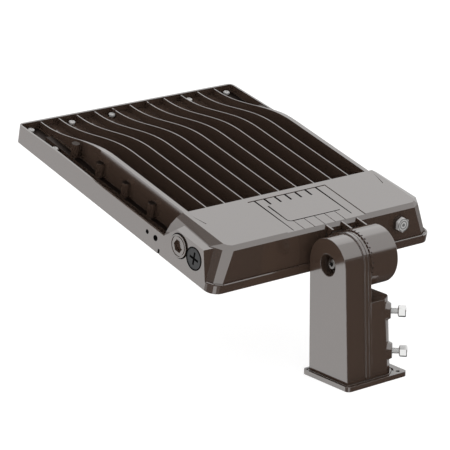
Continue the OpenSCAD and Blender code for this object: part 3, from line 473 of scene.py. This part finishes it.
def quiet_in_mirrors(tree, shader, colour=dull_brown):
    """Gives a finish a matt stand-in that only mirror rays see. Its colour may come from a node."""
    matt = add_node(tree, "ShaderNodeBsdfDiffuse", "seen in a mirror")
    if len(colour) == 2:
        join(tree, colour[0], colour[1], matt, "Color")
    else:
        matt.inputs["Color"].default_value = colour
    path = add_node(tree, "ShaderNodeLightPath")
    pick = add_node(tree, "ShaderNodeMixShader")
    join(tree, path, "Is Glossy Ray", pick, 0)
    join(tree, shader, 0, pick, 1)
    join(tree, matt, 0, pick, 2)
    join(tree, pick, 0, tree.nodes["Material Output"], "Surface")


print("stand-in colour:", dull_brown)


# %% [markdown]
# In the two low channels beside the fins the paint is darkened as painted shade, which stands in for the
# shade
# that falls into these low, narrow channels. It could be painted on by hand, but a mask by place needs no
# brush:
# it measures how far a point lies along the axes of the head, and keeps what faces up inside a box on each
# side.

# %% Channel mask
channel_limits = {"across": (0.1535, 0.1815), "ahead": (0.11, 0.444), "upward": (0.01, 0.0413)}
channel_soft = 0.0003
faces_up = 0.8


def along_axis(tree, source, socket, axis):
    """How far a place or a direction goes along an axis."""
    reach = add_node(tree, "ShaderNodeVectorMath", operation="DOT_PRODUCT")
    join(tree, source, socket, reach, 0)
    reach.inputs[1].default_value = axis
    return reach


def channel_shade_mask(tree):
    """A value that is 1 on what faces up in the two low channels beside the fins, where shade is painted.
    """
    place = add_node(tree, "ShaderNodeTexCoord")
    turned = head_place.to_3x3()
    axes = {"across": turned.col[0], "ahead": turned.col[1], "upward": turned.col[2]}
    slope = along_axis(tree, place, "Normal", axes["upward"])
    mask = calculate(tree, "GREATER_THAN", (slope, "Value"), faces_up)
    for title, (low, high) in channel_limits.items():
        reach = along_axis(tree, place, "Object", axes[title])
        reach = calculate(tree, "SUBTRACT", (reach, "Value"), head_place.to_translation().dot(axes[title]))
        reach = calculate(tree, "ABSOLUTE", (reach, 0))
        inside = zone_mask(tree, (reach, 0), low, high, channel_soft)
        mask = calculate(tree, "MULTIPLY", (mask, 0), (inside, 0))
    return mask


print("channels lie between", channel_limits)


# %% [markdown]
# The castings wear dark bronze powder paint: a smooth, glassy film over aluminium. It could be drawn as a
# metal, but then its mirror images would turn brown. It is a plain dielectric with a high index, so its
# faces show the room in grey, and its own brown shows only where the room is dark.

# %% Paint
bronze_dark = (0.052, 0.033, 0.024, 1)
bronze_light = (0.061, 0.040, 0.030, 1)
bronze_dusty = (0.2, 0.18, 0.16, 1)
bronze_rubbed_and_highlight = (0.16, 0.13, 0.11, 1)
# Colour and added roughness of the painted shade in the low channels beside the fins.
bronze_channel_shade = (0.042, 0.032, 0.027, 1)
channel_shade_roughness = 0.35


def bronze_paint(name, edge_radius, wear_radius):
    """Powder paint for castings with edges of one radius and wear of another."""
    finish, tree, shader = new_finish(name, IOR=2.5, Metallic=0)
    film = use_group(tree, skin, edge_radius=edge_radius, grain_size=500, grain_depth=0.015)
    settled = use_group(tree, dust, amount=0.05, scale=18)
    edges = use_group(tree, edge_wear_and_light, radius=wear_radius, amount=0.8, scale=220)
    tone = mix_colour(tree, (film, "Grain"), bronze_dark, bronze_light)
    dusty = mix_colour(tree, (settled, "Mask"), (tone, 2), bronze_dusty)
    # Lighter edges: partly rubbed paint, partly a painted highlight.
    worn_and_edge_light = mix_colour(tree, (edges, "Mask"), (dusty, 2), bronze_rubbed_and_highlight)
    # The channel mask paints shade into the channels: a dark metallic film that dims their reflections, and
    # more roughness.
    channel = channel_shade_mask(tree)
    shaded = mix_colour(tree, (channel, 0), (worn_and_edge_light, 2), bronze_channel_shade)
    join(tree, shaded, 2, shader, "Base Color")
    join(tree, channel, 0, shader, "Metallic")
    glossy = between(tree, (film, "Grain"), 0.1, 0.15)
    rough_in_shade = calculate(tree, "MULTIPLY", (channel, 0), channel_shade_roughness)
    rough = calculate(tree, "ADD", (glossy, 0), (rough_in_shade, 0))
    join(tree, rough, 0, shader, "Roughness")
    join(tree, film, "Normal", shader, "Normal")
    quiet_in_mirrors(tree, shader, (worn_and_edge_light, 2))
    return finish


paint = bronze_paint("bronze_paint", edge_radius=0.0002, wear_radius=0.0003)
arm_paint = bronze_paint("bronze_paint_on_thick_edges", edge_radius=0.0011, wear_radius=0.001)
print("made", paint.name, arm_paint.name)


# %% [markdown]
# Bolts and nuts are steel with a bright zinc coat. Turned steel has fine marks, so its roughness varies
# with a fine grain, and its edges are rubbed lighter, which is partly a painted highlight. On the zinc the
# edges are painted dark instead, as painted shade. It is a metal: all its colour is in its mirror images.

# %% Steel
def bright_steel(name, colour, rough, edge=0.9, mirrored=0.05):
    """A bright metal. rough is a pair of limits, edge the grey of its edges, mirrored of its images."""
    finish, tree, shader = new_finish(name, Metallic=1)
    marks = use_group(tree, skin, edge_radius=0.0002, grain_size=1600, grain_depth=0.08, stretch=(1, 1, 4))
    edges = use_group(tree, edge_wear_and_light, radius=0.0005, amount=0.6, scale=400)
    shade = tuple(value * 0.86 for value in colour) + (1,)
    tone = mix_colour(tree, (marks, "Grain"), shade, colour + (1,))
    # Along edges the edge grey is blended in: partly wear, partly painted edge light.
    worn_and_edge_light = mix_colour(tree, (edges, "Mask"), (tone, 2), (edge, edge, edge, 1))
    join(tree, worn_and_edge_light, 2, shader, "Base Color")
    varied = between(tree, (marks, "Grain"), rough[0], rough[1])
    join(tree, varied, 0, shader, "Roughness")
    join(tree, marks, "Normal", shader, "Normal")
    quiet_in_mirrors(tree, shader, (mirrored, mirrored, mirrored, 1))
    return finish


# Its dark edge grey paints the zinc's edges dark: painted shade.
zinc = bright_steel("zinc_steel", (0.95, 0.95, 0.94), (0.1, 0.2), edge=0.12, mirrored=0.6)
dark_steel = bright_steel("dark_steel", (0.34, 0.33, 0.32), (0.2, 0.32))
bare_aluminium = bright_steel("bare_aluminium", (0.62, 0.63, 0.64), (0.3, 0.45))
print("metals:", zinc.name, dark_steel.name, bare_aluminium.name)


# %% [markdown]
# Rubber, plastics and dull coats differ only in colour, gloss and grain, so one function makes them all.
# The screws round the rim and the face of the plug on the rear wall are matt steel. A metal would turn
# black where the room is dark, so they are matt coats as well, with a raised index for their sheen.

# %% Rubber, plastics and dull coats
def moulded(name, colour, rough, grain_depth=0.2, grain_size=2200, index=1.5):
    """A moulded or dull finish. rough is a pair of limits."""
    finish, tree, shader = new_finish(name, Metallic=0, IOR=index)
    face = use_group(tree, skin, edge_radius=0.0003, grain_size=grain_size, grain_depth=grain_depth)
    settled = use_group(tree, dust, amount=0.06, scale=60)
    shade = tuple(value * 0.8 for value in colour) + (1,)
    tone = mix_colour(tree, (face, "Grain"), shade, colour + (1,))
    dusty = mix_colour(tree, (settled, "Mask"), (tone, 2), (0.3, 0.28, 0.26, 1))
    join(tree, dusty, 2, shader, "Base Color")
    varied = between(tree, (face, "Grain"), rough[0], rough[1])
    join(tree, varied, 0, shader, "Roughness")
    join(tree, face, "Normal", shader, "Normal")
    return finish


rubber = moulded("black_rubber", (0.016, 0.016, 0.017), (0.5, 0.7))
brown_rubber = moulded("brown_rubber", (0.046, 0.034, 0.028), (0.5, 0.7), 0.3, 1500, index=1.3)
grey_plastic = moulded("grey_plastic", (0.052, 0.053, 0.054), (0.5, 0.7), 0.5, 1500, index=1.35)
dull_black = moulded("dull_black", (0.004, 0.004, 0.004), (0.6, 0.8), 0.1, 1500, index=1.02)
dark_plastic = moulded("dark_plastic", (0.02, 0.02, 0.022), (0.35, 0.5))
ivory_plastic = moulded("ivory_plastic", (0.66, 0.63, 0.54), (0.35, 0.5))
board_white = moulded("board_white", (0.78, 0.79, 0.78), (0.3, 0.45), 0.05)
driver_case = moulded("driver_case", (0.11, 0.11, 0.12), (0.35, 0.5), 0.15, 900)
lead_cover = moulded("black_insulation", (0.014, 0.014, 0.015), (0.3, 0.42), 0.05)
screw_zinc = moulded("matt_zinc", (0.6, 0.59, 0.58), (0.35, 0.5), 0.1, 1500, index=1.7)
# The darker plug steel is a shaded copy of the plug's steel for its ringed face: painted shade.
plug_steel_shaded = moulded("plug_steel_shaded", (0.13, 0.13, 0.127), (0.25, 0.4), 0.1, 1500, index=1.9)
for finish in (screw_zinc, plug_steel_shaded):
    quiet_in_mirrors(finish.node_tree, finish.node_tree.nodes["Principled BSDF"])
print("finishes made:", len(bpy.data.materials))


# %% [markdown]
# The lens panels are clear plastic, moulded with one dome over each diode. Clear plastic passes light and
# bends it, so its shader has a transmission weight. Through it the white board and the diodes show.

# %% Lens
def clear_lens():
    finish, tree, shader = new_finish("clear_lens", Metallic=0, IOR=1.49, Transmission_Weight=0.95)
    face = use_group(tree, skin, edge_radius=0.0002, grain_size=1200, grain_depth=0.02)
    tone = mix_colour(tree, (face, "Grain"), (0.86, 0.88, 0.88, 1), (0.94, 0.95, 0.95, 1))
    join(tree, tone, 2, shader, "Base Color")
    rough = between(tree, (face, "Grain"), 0.04, 0.09)
    join(tree, rough, 0, shader, "Roughness")
    join(tree, face, "Normal", shader, "Normal")
    return finish


lens_plastic = clear_lens()
print("made", lens_plastic.name)


# %% [markdown]
# ## Dressing the solids
# The solids keep their meshes and only get a finish in their slots. A table of node names and finishes is
# the shortest way, and it shows at a glance what each piece is made of.

# %% Assign finishes
finish_table = {
    paint: ["heat_sink_body", "driver_door", "optic_frame", "ring_plug", "knuckle", "knuckle_cap"],
    arm_paint: ["arm_left", "arm_right", "base_flange"],
    zinc: [
        "door_screws", "frame_screws", "tray_screws", "knuckle_screws", "nut_washer", "tilt_nut",
        "seam_screws", "flange_screws", "clamp_bolt_front_low", "clamp_bolt_front_high",
        "clamp_bolt_rear_low", "clamp_bolt_rear_high",
    ],
    dark_steel: ["tilt_bolt", "tilt_washer"],
    plug_steel_shaded: ["hex_plug"],
    rubber: [
        "door_gasket", "lens_gaskets", "ring_plug_seal", "knuckle_gasket", "seam_gasket", "cable_grommet",
    ],
    brown_rubber: ["hex_plug_washer"],
    grey_plastic: ["cross_plug"],
    lens_plastic: ["lens_front_left", "lens_front_right", "lens_rear_left", "lens_rear_right"],
    board_white: ["led_board_left", "led_board_right"],
    driver_case: ["led_driver"],
    bare_aluminium: ["driver_tray"],
    dark_plastic: ["surge_protector"],
    ivory_plastic: ["terminal_block"],
    lead_cover: ["board_leads", "driver_leads"],
}


def dress(piece, finish):
    """Puts one finish in all slots of a piece."""
    if not piece.material_slots:
        piece.data.materials.append(finish)
    for slot in piece.material_slots:
        slot.material = finish


dressed = set()
for finish, names in finish_table.items():
    for name in names:
        dress(nodes[name], finish)
        dressed.add(name)
print("dressed:", len(dressed), "left bare:", sorted(set(nodes) - dressed))


# %% [markdown]
# ## Turned pieces
# Bolts, plugs and rings are turned or rolled on the real light, so their outline is the same all round. The
# helper starts from a filled circle and extrudes it step by step, and each step is scaled to the next
# radius. A Spin would do the same, but an outline of radius and height is easier to read as a drawing.

# %% Turning helper
def turn(name, sides, outline):
    """A solid along Z from an outline of (radius, height) pairs, in metres."""
    bpy.ops.object.select_all(action="DESELECT")
    bpy.ops.mesh.primitive_circle_add(vertices=sides, radius=outline[0][0], fill_type="NGON")
    piece = bpy.context.object
    piece.name = name
    bpy.ops.object.mode_set(mode="EDIT")
    bpy.ops.mesh.select_all(action="SELECT")
    bpy.ops.transform.translate(value=(0, 0, outline[0][1]))
    for (radius, low), (wide, high) in zip(outline, outline[1:]):
        bpy.ops.mesh.extrude_region_move(TRANSFORM_OT_translate={"value": (0, 0, high - low)})
        bpy.ops.transform.resize(value=(wide / radius, wide / radius, 1), center_override=(0, 0, high))
    bpy.ops.mesh.select_all(action="SELECT")
    bpy.ops.mesh.normals_make_consistent(inside=False)
    bpy.ops.object.mode_set(mode="OBJECT")
    return piece


print("turning helper ready")


# %% [markdown]
# Three more helpers serve every new piece. Pieces are joined where they are one thing on the real light. A
# finished piece has its place in its mesh and its object at the origin, as the solids have, so patterns on
# object coordinates stay where they are. A copy gets a mesh of its own.

# %% Joining, placing and copying
def join_pieces(pieces):
    """Joins several objects into the first one."""
    bpy.ops.object.select_all(action="DESELECT")
    for piece in pieces:
        piece.select_set(True)
    bpy.context.view_layer.objects.active = pieces[0]
    bpy.ops.object.join()
    return bpy.context.object


def set_in_place(piece, matrix, finish, body, smooth=35):
    """Moves a piece, bakes its place into its mesh, shades it, and lets it ride on its body."""
    bpy.ops.object.select_all(action="DESELECT")
    piece.select_set(True)
    bpy.context.view_layer.objects.active = piece
    piece.matrix_world = matrix
    bpy.ops.object.transform_apply(location=True, rotation=True, scale=True)
    bpy.ops.object.shade_smooth_by_angle(angle=math.radians(smooth))
    dress(piece, finish)
    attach(piece, body)
    print(piece.name, "faces:", len(piece.data.polygons))
    return piece


def copy_piece(piece, name):
    """A copy with its own mesh."""
    twin = piece.copy()
    twin.data = piece.data.copy()
    twin.name = name
    bpy.context.collection.objects.link(twin)
    return twin


print("placing helpers ready")


# %% [markdown]
# ## Clamp bolts
# Four bolts press on the pole through the slanted corners of the arm. Each has a rolled thread and a
# hexagonal head with broken edges. The thread is drawn as rings, not as a spiral: at this size nobody can
# tell, and rings are far lighter. One bolt is modelled and copied.

# %% One clamp bolt
crest_r = 0.0039
root_r = 0.0032
thread_pitch = 0.00125
thread_turns = 18
tip_length = 0.0008
bolt_head_r = 0.00805
bolt_head_rim_r = 0.0074
bolt_head_h = 0.0102
shank = [(0.0031, 0.0), (crest_r, tip_length)]
for step in range(thread_turns):
    foot = tip_length + step * thread_pitch
    shank.append((crest_r, foot + 0.0002))
    shank.append((root_r, foot + 0.0006))
    shank.append((crest_r, foot + 0.00105))
shank_length = shank[-1][1]
shank.append((crest_r, shank_length + 0.0002))
collar_outline = [(0.0062, 0), (0.0064, 0.0003), (0.0064, 0.0007)]
head_outline = [(bolt_head_rim_r, 0.0005), (bolt_head_r, 0.0011), (bolt_head_r, bolt_head_h - 0.0007)]
head_outline += [(0.0073, bolt_head_h), (0.0052, bolt_head_h), (0.0049, bolt_head_h - 0.0003)]
bolt_body = turn("clamp_bolt", 20, shank)
collar = turn("collar", 28, collar_outline)
hexagon = turn("hexagon", 6, head_outline)
for piece in (collar, hexagon):
    piece.location.z = shank_length
bolt_model = join_pieces([bolt_body, collar, hexagon])
bolt_length = shank_length + bolt_head_h
print("bolt length:", round(bolt_length, 4))


# %% [markdown]
# Each solid bolt lies along a slanting line outwards from the pole. The farthest point of its mesh along
# that line is where the new head must end, so the place comes from the solid and not from a list.

# %% Four clamp bolts
def frame_along(direction, sideways, origin):
    """A placement whose Z runs along a direction and whose Y runs along another one."""
    z_axis = direction.normalized()
    y_axis = sideways.normalized()
    x_axis = y_axis.cross(z_axis)
    turned = Matrix((x_axis, y_axis, z_axis)).transposed().to_4x4()
    return Matrix.Translation(origin) @ turned


slanting = math.sqrt(0.5)
for name, side in (("rear_low", -1), ("rear_high", -1), ("front_low", 1), ("front_high", 1)):
    body = "clamp_bolt_" + name
    outward = Vector((slanting, side * slanting, 0))
    reach = max(corner.co.dot(outward) for corner in nodes[body].data.vertices)
    low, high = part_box("clamp_bolt_" + name)
    middle = (low[2] + high[2]) / 2
    start = outward * (reach - bolt_length) + Vector((0, 0, middle))
    bolt = copy_piece(bolt_model, "threaded_bolt_" + name)
    set_in_place(bolt, frame_along(outward, Vector((0, 0, -1)), start), zinc, body)
    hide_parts("clamp_bolt_" + name)
bpy.data.objects.remove(bolt_model)


# %% [markdown]
# ## The hexagonal plug
# The rear wall is closed by a steel plug with a hexagonal head. Its face was turned on a lathe, which left
# rings, and its corners are broken. The rings are shallow steps, because a bump would vanish at the edge,
# and they are a piece of their own, because the face gets a darker steel than the corners: the light
# corners are a painted highlight and the dark face is painted shade.

# %% Hexagonal plug
rear_lean = 0.00875
rear_height = 0.0462
hex_plug_spot = (0.125, 0.00714, 0.036)
hexagon_r = 0.01035
face_high = 0.0096
ring_high = face_high + 0.0003
ring_low = face_high - 0.0001
body_outline = [(0.0096, 0.0041), (hexagon_r, 0.0048), (hexagon_r, 0.0088), (0.0095, face_high)]
ring_steps = [(0.0089, 0.0092), (0.0087, 0.01), (0.0077, 0.01), (0.0075, ring_low), (0.0061, ring_low)]
ring_steps += [(0.0059, ring_high), (0.0045, ring_high), (0.0043, 0.0094), (0.0026, 0.0094)]
ring_steps += [(0.0024, ring_high)]
plug_body = turn("face_plug", 6, body_outline)
plug_face = turn("face_plug_rings", 40, ring_steps)
plug_thread = turn("thread", 28, [(0.0066, -0.012), (0.007, -0.0114), (0.007, 0.0045)])
face_plug = join_pieces([plug_body, plug_thread])
rear_slope = math.atan(rear_lean / rear_height)
rear_turn = Matrix.Rotation(math.pi / 2 - rear_slope, 4, "X")
plug_place = head_place @ Matrix.Translation(hex_plug_spot) @ rear_turn
# The body with its broken corners takes the light matt zinc as a painted highlight, and the ringed face the
# darker plug steel as painted shade.
set_in_place(face_plug, plug_place, screw_zinc, "head", 25)
set_in_place(plug_face, plug_place, plug_steel_shaded, "head", 25)
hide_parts("hex_plug")


# %% [markdown]
# ## Screws round the rim
# Sixteen screws hold the optics frame from above. Eight stand on pads and eight are sunk in the rim. Their
# heads are low domes with a small round recess, and a dome catches light from every side, so each one shows
# as a bright dot. One screw is modelled, and its copies are joined into one piece.

# %% Rim screws
screw_across = 0.169
screw_front = 0.4365
screw_pitch = 0.0585
pad_height = 0.016
sunk_height = 0.010
front_gaps = 5
dome = [(0.0021, -0.0125), (0.0021, 0.0), (0.0039, 0.0), (0.004, 0.0014), (0.0045, 0.0015)]
dome += [(0.0047, 0.0019), (0.0046, 0.0026), (0.0041, 0.0033), (0.0034, 0.0036), (0.0022, 0.0038)]
dome += [(0.0013, 0.0038), (0.0011, 0.003)]
screw_model = turn("rim_screw", 20, dome)
spots = []
for step in range(front_gaps + 1):
    spots.append((screw_across * (2 * step / front_gaps - 1), screw_front, pad_height))
for side in (-1, 1):
    spots.append((side * screw_across, screw_front - screw_pitch, pad_height))
for side in (-1, 1):
    for step in (2, 3, 4, 5):
        spots.append((side * screw_across, screw_front - screw_pitch * step, sunk_height))
screws = []
for number, spot in enumerate(spots):
    screw = copy_piece(screw_model, "rim_screw_%d" % number)
    screw.location = spot
    screws.append(screw)
bpy.data.objects.remove(screw_model)
rim_screws = join_pieces(screws)
rim_screws.name = "rim_screws"
rim_screws.data.transform(Matrix.Translation(rim_screws.location))
rim_screws.location = (0, 0, 0)
set_in_place(rim_screws, head_place, screw_zinc, "head")
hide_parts("frame_screws")


# %% [markdown]
# ## Rings of the side plugs
# Both round plugs on the left side sit on black rings. A ring could be turned like the plugs, but a torus
# has the round section already. It is pressed a little flat in edit mode, as the real one is by its plug.

# %% Plug rings
rim_side = 0.185
ring_proud = 0.0002
ring_flatness = 0.7
ring_plug_ahead = 0.0758
ring_plug_height = 0.0322
cross_plug_ahead = 0.0446
cross_plug_height = 0.0303
outward_left = Matrix.Rotation(math.radians(-90), 4, "Y")


def seal_ring(name, radius, thick, ahead, height):
    """A flattened ring on the left side of the rim."""
    bpy.ops.object.select_all(action="DESELECT")
    bpy.ops.mesh.primitive_torus_add(
        major_radius=radius, minor_radius=thick, major_segments=72, minor_segments=12
    )
    ring = bpy.context.object
    ring.name = name
    bpy.ops.object.mode_set(mode="EDIT")
    bpy.ops.mesh.select_all(action="SELECT")
    bpy.ops.transform.resize(value=(1, 1, ring_flatness), center_override=(0, 0, 0))
    bpy.ops.object.mode_set(mode="OBJECT")
    spot = Matrix.Translation((-rim_side - ring_proud, ahead, height))
    return set_in_place(ring, head_place @ spot @ outward_left, dull_black, "head")


seal_ring("ring_plug_ring", 0.0161, 0.0009, ring_plug_ahead, ring_plug_height)
seal_ring("cross_plug_ring", 0.0147, 0.0008, cross_plug_ahead, cross_plug_height)


# %% [markdown]
# ## The plug with a cross
# The grey plug has a deep cross for a tool. Two crossing blocks would leave faces inside, so the cross is
# grown from one small block instead, by an extrusion of each of its four sides.

# %% Cross helper
def cross_block(name, width, reach, thick):
    """A cross that lies flat: the width and reach of its arms and its thickness."""
    bpy.ops.object.select_all(action="DESELECT")
    bpy.ops.mesh.primitive_cube_add(size=width)
    block = bpy.context.object
    block.name = name
    bpy.ops.object.mode_set(mode="EDIT")
    bpy.ops.mesh.select_mode(type="FACE")
    for way in (Vector((1, 0, 0)), Vector((-1, 0, 0)), Vector((0, 1, 0)), Vector((0, -1, 0))):
        bpy.ops.mesh.select_all(action="DESELECT")
        shape = bmesh.from_edit_mesh(block.data)
        for face in shape.faces:
            near = face.calc_center_median().length < 0.6 * width
            face.select = near and face.normal.dot(way) > 0.9
        shape.select_flush_mode()
        bmesh.update_edit_mesh(block.data)
        bpy.ops.mesh.extrude_region_move(TRANSFORM_OT_translate={"value": way * (reach - width / 2)})
    bpy.ops.mesh.select_all(action="SELECT")
    bpy.ops.transform.resize(value=(1, 1, thick / width), center_override=(0, 0, 0))
    bpy.ops.object.mode_set(mode="OBJECT")
    return block


print("cross helper ready")


# %% [markdown]
# A disc is turned first, and a Boolean modifier cuts the cross out of it. A second cross, a hair smaller,
# lies in the cut as its dark floor, because hardly any light falls so deep.

# %% Crossed plug
cross_arm_w = 0.0034
cross_arm_reach = 0.0089
cut_thick = 0.003
floor_thick = 0.0011
floor_sunk = 0.0007
hair = 0.00005
plug_outline = [(0.0102, -0.024), (0.0106, -0.0235), (0.0106, -0.0024), (0.0144, -0.0024)]
plug_outline += [(0.0146, -0.0022), (0.0146, -0.0004), (0.0142, -0.0001), (0.013, 0)]
crossed_plug = turn("crossed_plug", 48, plug_outline)
cutter = cross_block("cutter", cross_arm_w, cross_arm_reach, cut_thick)
cut = crossed_plug.modifiers.new("cross", "BOOLEAN")
cut.operation = "DIFFERENCE"
cut.object = cutter
bpy.ops.object.select_all(action="DESELECT")
bpy.context.view_layer.objects.active = crossed_plug
bpy.ops.object.modifier_apply(modifier=cut.name)
bpy.data.objects.remove(cutter)
cross_spot = Matrix.Translation((-rim_side, cross_plug_ahead, cross_plug_height))
cross_place = head_place @ cross_spot @ outward_left
set_in_place(crossed_plug, cross_place, grey_plastic, "head")
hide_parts("cross_plug")
cross_floor = cross_block("cross_floor", cross_arm_w - hair, cross_arm_reach - hair, floor_thick)
floor_place = cross_place @ Matrix.Translation((0, 0, -floor_sunk))
set_in_place(cross_floor, floor_place, dull_black, "head")


# %% [markdown]
# ## Caps in the rim
# Each side of the rim has two blind holes and a drain slot. Small black caps close the holes. They could be
# painted on as dark spots, but then they would catch no light. They are turned, and the large one has a
# groove round its middle. The slot gets a black block with its edges beveled in edit mode, which stands in
# for the shade inside the slot: painted shade. On the left the caps stand a little proud. On the right they
# are flush, because the rim is the widest part there.

# %% Caps
cap_high = 0.0009
cap_base = {-1: rim_side, 1: rim_side - cap_high}
cap_height = 0.018
slot_height = 0.0037
small_cap_ahead = 0.142
large_cap_ahead = 0.124
slot_ahead = 0.114
small_cap = [(0.0029, -0.0017), (0.0029, 0.0002), (0.0027, 0.0004), (0.002, 0.0006), (0.0008, 0.0007)]
large_cap = [(0.0039, -0.0017), (0.0039, 0.0002), (0.0038, 0.0005), (0.0034, 0.0008), (0.0026, cap_high)]
large_cap += [(0.0023, 0.0003), (0.0016, 0.0003), (0.0013, 0.0007), (0.0006, 0.0008)]
slot_cube = 0.0023
slot_stretch = (0.6, 1.4, 2.9)
slot_edge = 0.0003


def hole_cap(name, outline, side, ahead):
    """A turned cap in the left or the right side of the rim."""
    piece = turn(name, 24, outline)
    spot = Matrix.Translation((side * cap_base[side], ahead, cap_height))
    outward = Matrix.Rotation(side * math.pi / 2, 4, "Y")
    return set_in_place(piece, head_place @ spot @ outward, dull_black, "head")


def slot_shade(name, side):
    """A beveled black block that fills the drain slot as painted shade."""
    bpy.ops.object.select_all(action="DESELECT")
    bpy.ops.mesh.primitive_cube_add(size=slot_cube)
    piece = bpy.context.object
    piece.name = name
    bpy.ops.object.mode_set(mode="EDIT")
    bpy.ops.mesh.select_all(action="SELECT")
    bpy.ops.transform.resize(value=slot_stretch, center_override=(0, 0, 0))
    bpy.ops.mesh.bevel(offset=slot_edge, segments=2, affect="EDGES")
    bpy.ops.object.mode_set(mode="OBJECT")
    spot = Matrix.Translation((side * (rim_side - cap_high), slot_ahead, slot_height))
    return set_in_place(piece, head_place @ spot, dull_black, "head")


for side, word in ((-1, "left"), (1, "right")):
    hole_cap("small_cap_" + word, small_cap, side, small_cap_ahead)
    hole_cap("large_cap_" + word, large_cap, side, large_cap_ahead)
    slot_shade("slot_shade_" + word, side)


# %% [markdown]
# ## Flat bars
# The sunk panel on top is ruled with dark lines, and a bead runs round the rear. Both are built from flat
# bars. A bar is made from a plane: its far edge is scaled in edit mode, so it may taper, and then it is
# extruded downwards. A curve with a bevel would do for the bead, but the dark lines taper, and one helper
# can serve both.

# %% Bar helper
def flat_bar(start, end, wide_start, wide_end, top, thick):
    """A flat bar from one place on the head to another, which may taper."""
    bpy.ops.object.select_all(action="DESELECT")
    bpy.ops.mesh.primitive_plane_add(size=1)
    bar = bpy.context.object
    bpy.ops.object.mode_set(mode="EDIT")
    bpy.ops.mesh.select_mode(type="EDGE")
    bpy.ops.mesh.select_all(action="DESELECT")
    shape = bmesh.from_edit_mesh(bar.data)
    for edge in shape.edges:
        edge.select = all(corner.co.y > 0 for corner in edge.verts)
    shape.select_flush_mode()
    bmesh.update_edit_mesh(bar.data)
    bpy.ops.transform.resize(value=(wide_end / wide_start, 1, 1), center_override=(0, 0.5, 0))
    bpy.ops.mesh.select_all(action="SELECT")
    run = Vector(end) - Vector(start)
    bpy.ops.transform.resize(value=(wide_start, run.length, 1), center_override=(0, 0, 0))
    bpy.ops.mesh.extrude_region_move(TRANSFORM_OT_translate={"value": (0, 0, -thick)})
    bpy.ops.mesh.select_all(action="SELECT")
    bpy.ops.mesh.normals_make_consistent(inside=False)
    bpy.ops.object.mode_set(mode="OBJECT")
    middle = (Vector(start) + Vector(end)) / 2
    turned = Matrix.Rotation(math.atan2(-run.x, run.y), 4, "Z")
    bar.data.transform(Matrix.Translation((middle.x, middle.y, top)) @ turned)
    return bar


print("bar helper ready")


# %% [markdown]
# ## Dark inlays in the panel
# Dirt and shade make the broad cut lines of the panel black, so each gets a thin dark bar. Two long lines
# frame the panel, five ticks stand at its front, and a short line turns a round corner into a cross line.
# The corner is a quarter turn in three straight steps, with its angles in radians.

# %% Panel inlays
panel_floor = 0.0571
inlay_thick = 0.0009
long_front = 0.0995
left_line = -0.0505
right_line = 0.0525
inner_line = -0.0415
cross_line = 0.038
cross_end = 0.044
bend_r = 0.0055
bend_spot = (inner_line + bend_r, cross_line + bend_r)
bend_angles = (0, 0.524, 1.047, 1.571)
tick_count = 5
tick_pitch = 0.0172
tick_rear = 0.0845
tick_front = 0.0994
runs = [
    ((left_line, 0.018), (left_line, long_front), 0.0009, 0.0025),
    ((right_line, 0.025), (right_line, long_front), 0.0014, 0.0027),
    ((inner_line, bend_spot[1]), (inner_line, 0.0815), 0.0013, 0.0024),
    ((bend_spot[0], cross_line), (cross_end, cross_line), 0.0015, 0.0013),
]
for step in range(tick_count):
    across = tick_pitch * (step - (tick_count - 1) / 2)
    runs.append(((across, tick_rear), (across, tick_front), 0.0028, 0.0032))
bend = []
for angle in bend_angles:
    bend.append((bend_spot[0] - bend_r * math.cos(angle), bend_spot[1] - bend_r * math.sin(angle)))
runs += [(first, second, 0.0013, 0.0013) for first, second in zip(bend, bend[1:])]
panel_inlays = join_pieces([flat_bar(*run, panel_floor, inlay_thick) for run in runs])
panel_inlays.name = "panel_inlays"
set_in_place(panel_inlays, head_place, dull_black, "head")


# %% [markdown]
# ## The bead round the rear
# A fine bead runs round the rear, where the sloping wall stands on the plain band. Its slanted face catches
# the light as a thin line. The bars follow the middle of the bead round both corners, and a Bevel modifier
# slants their edges.

# %% Rear bead
band_top = 0.0115
bead_wide = 0.0024
bead_high = 0.0011
bead_thick = 0.0019
bead_slant = 0.0009
half_width = rim_side - bead_wide / 2
behind = bead_wide / 2
corner = [(half_width, 0.0164), (half_width - 0.0058, behind + 0.0054), (half_width - 0.0165, behind)]
bead_path = [(-across, ahead) for across, ahead in corner] + corner[::-1]
bead_top = band_top + bead_high
beads = []
for first, second in zip(bead_path, bead_path[1:]):
    beads.append(flat_bar(first, second, bead_wide, bead_wide, bead_top, bead_thick))
rear_bead = join_pieces(beads)
rear_bead.name = "rear_bead"
slant = rear_bead.modifiers.new("slanted edge", "BEVEL")
slant.width = bead_slant
bpy.ops.object.modifier_apply(modifier=slant.name)
set_in_place(rear_bead, head_place, paint, "head")
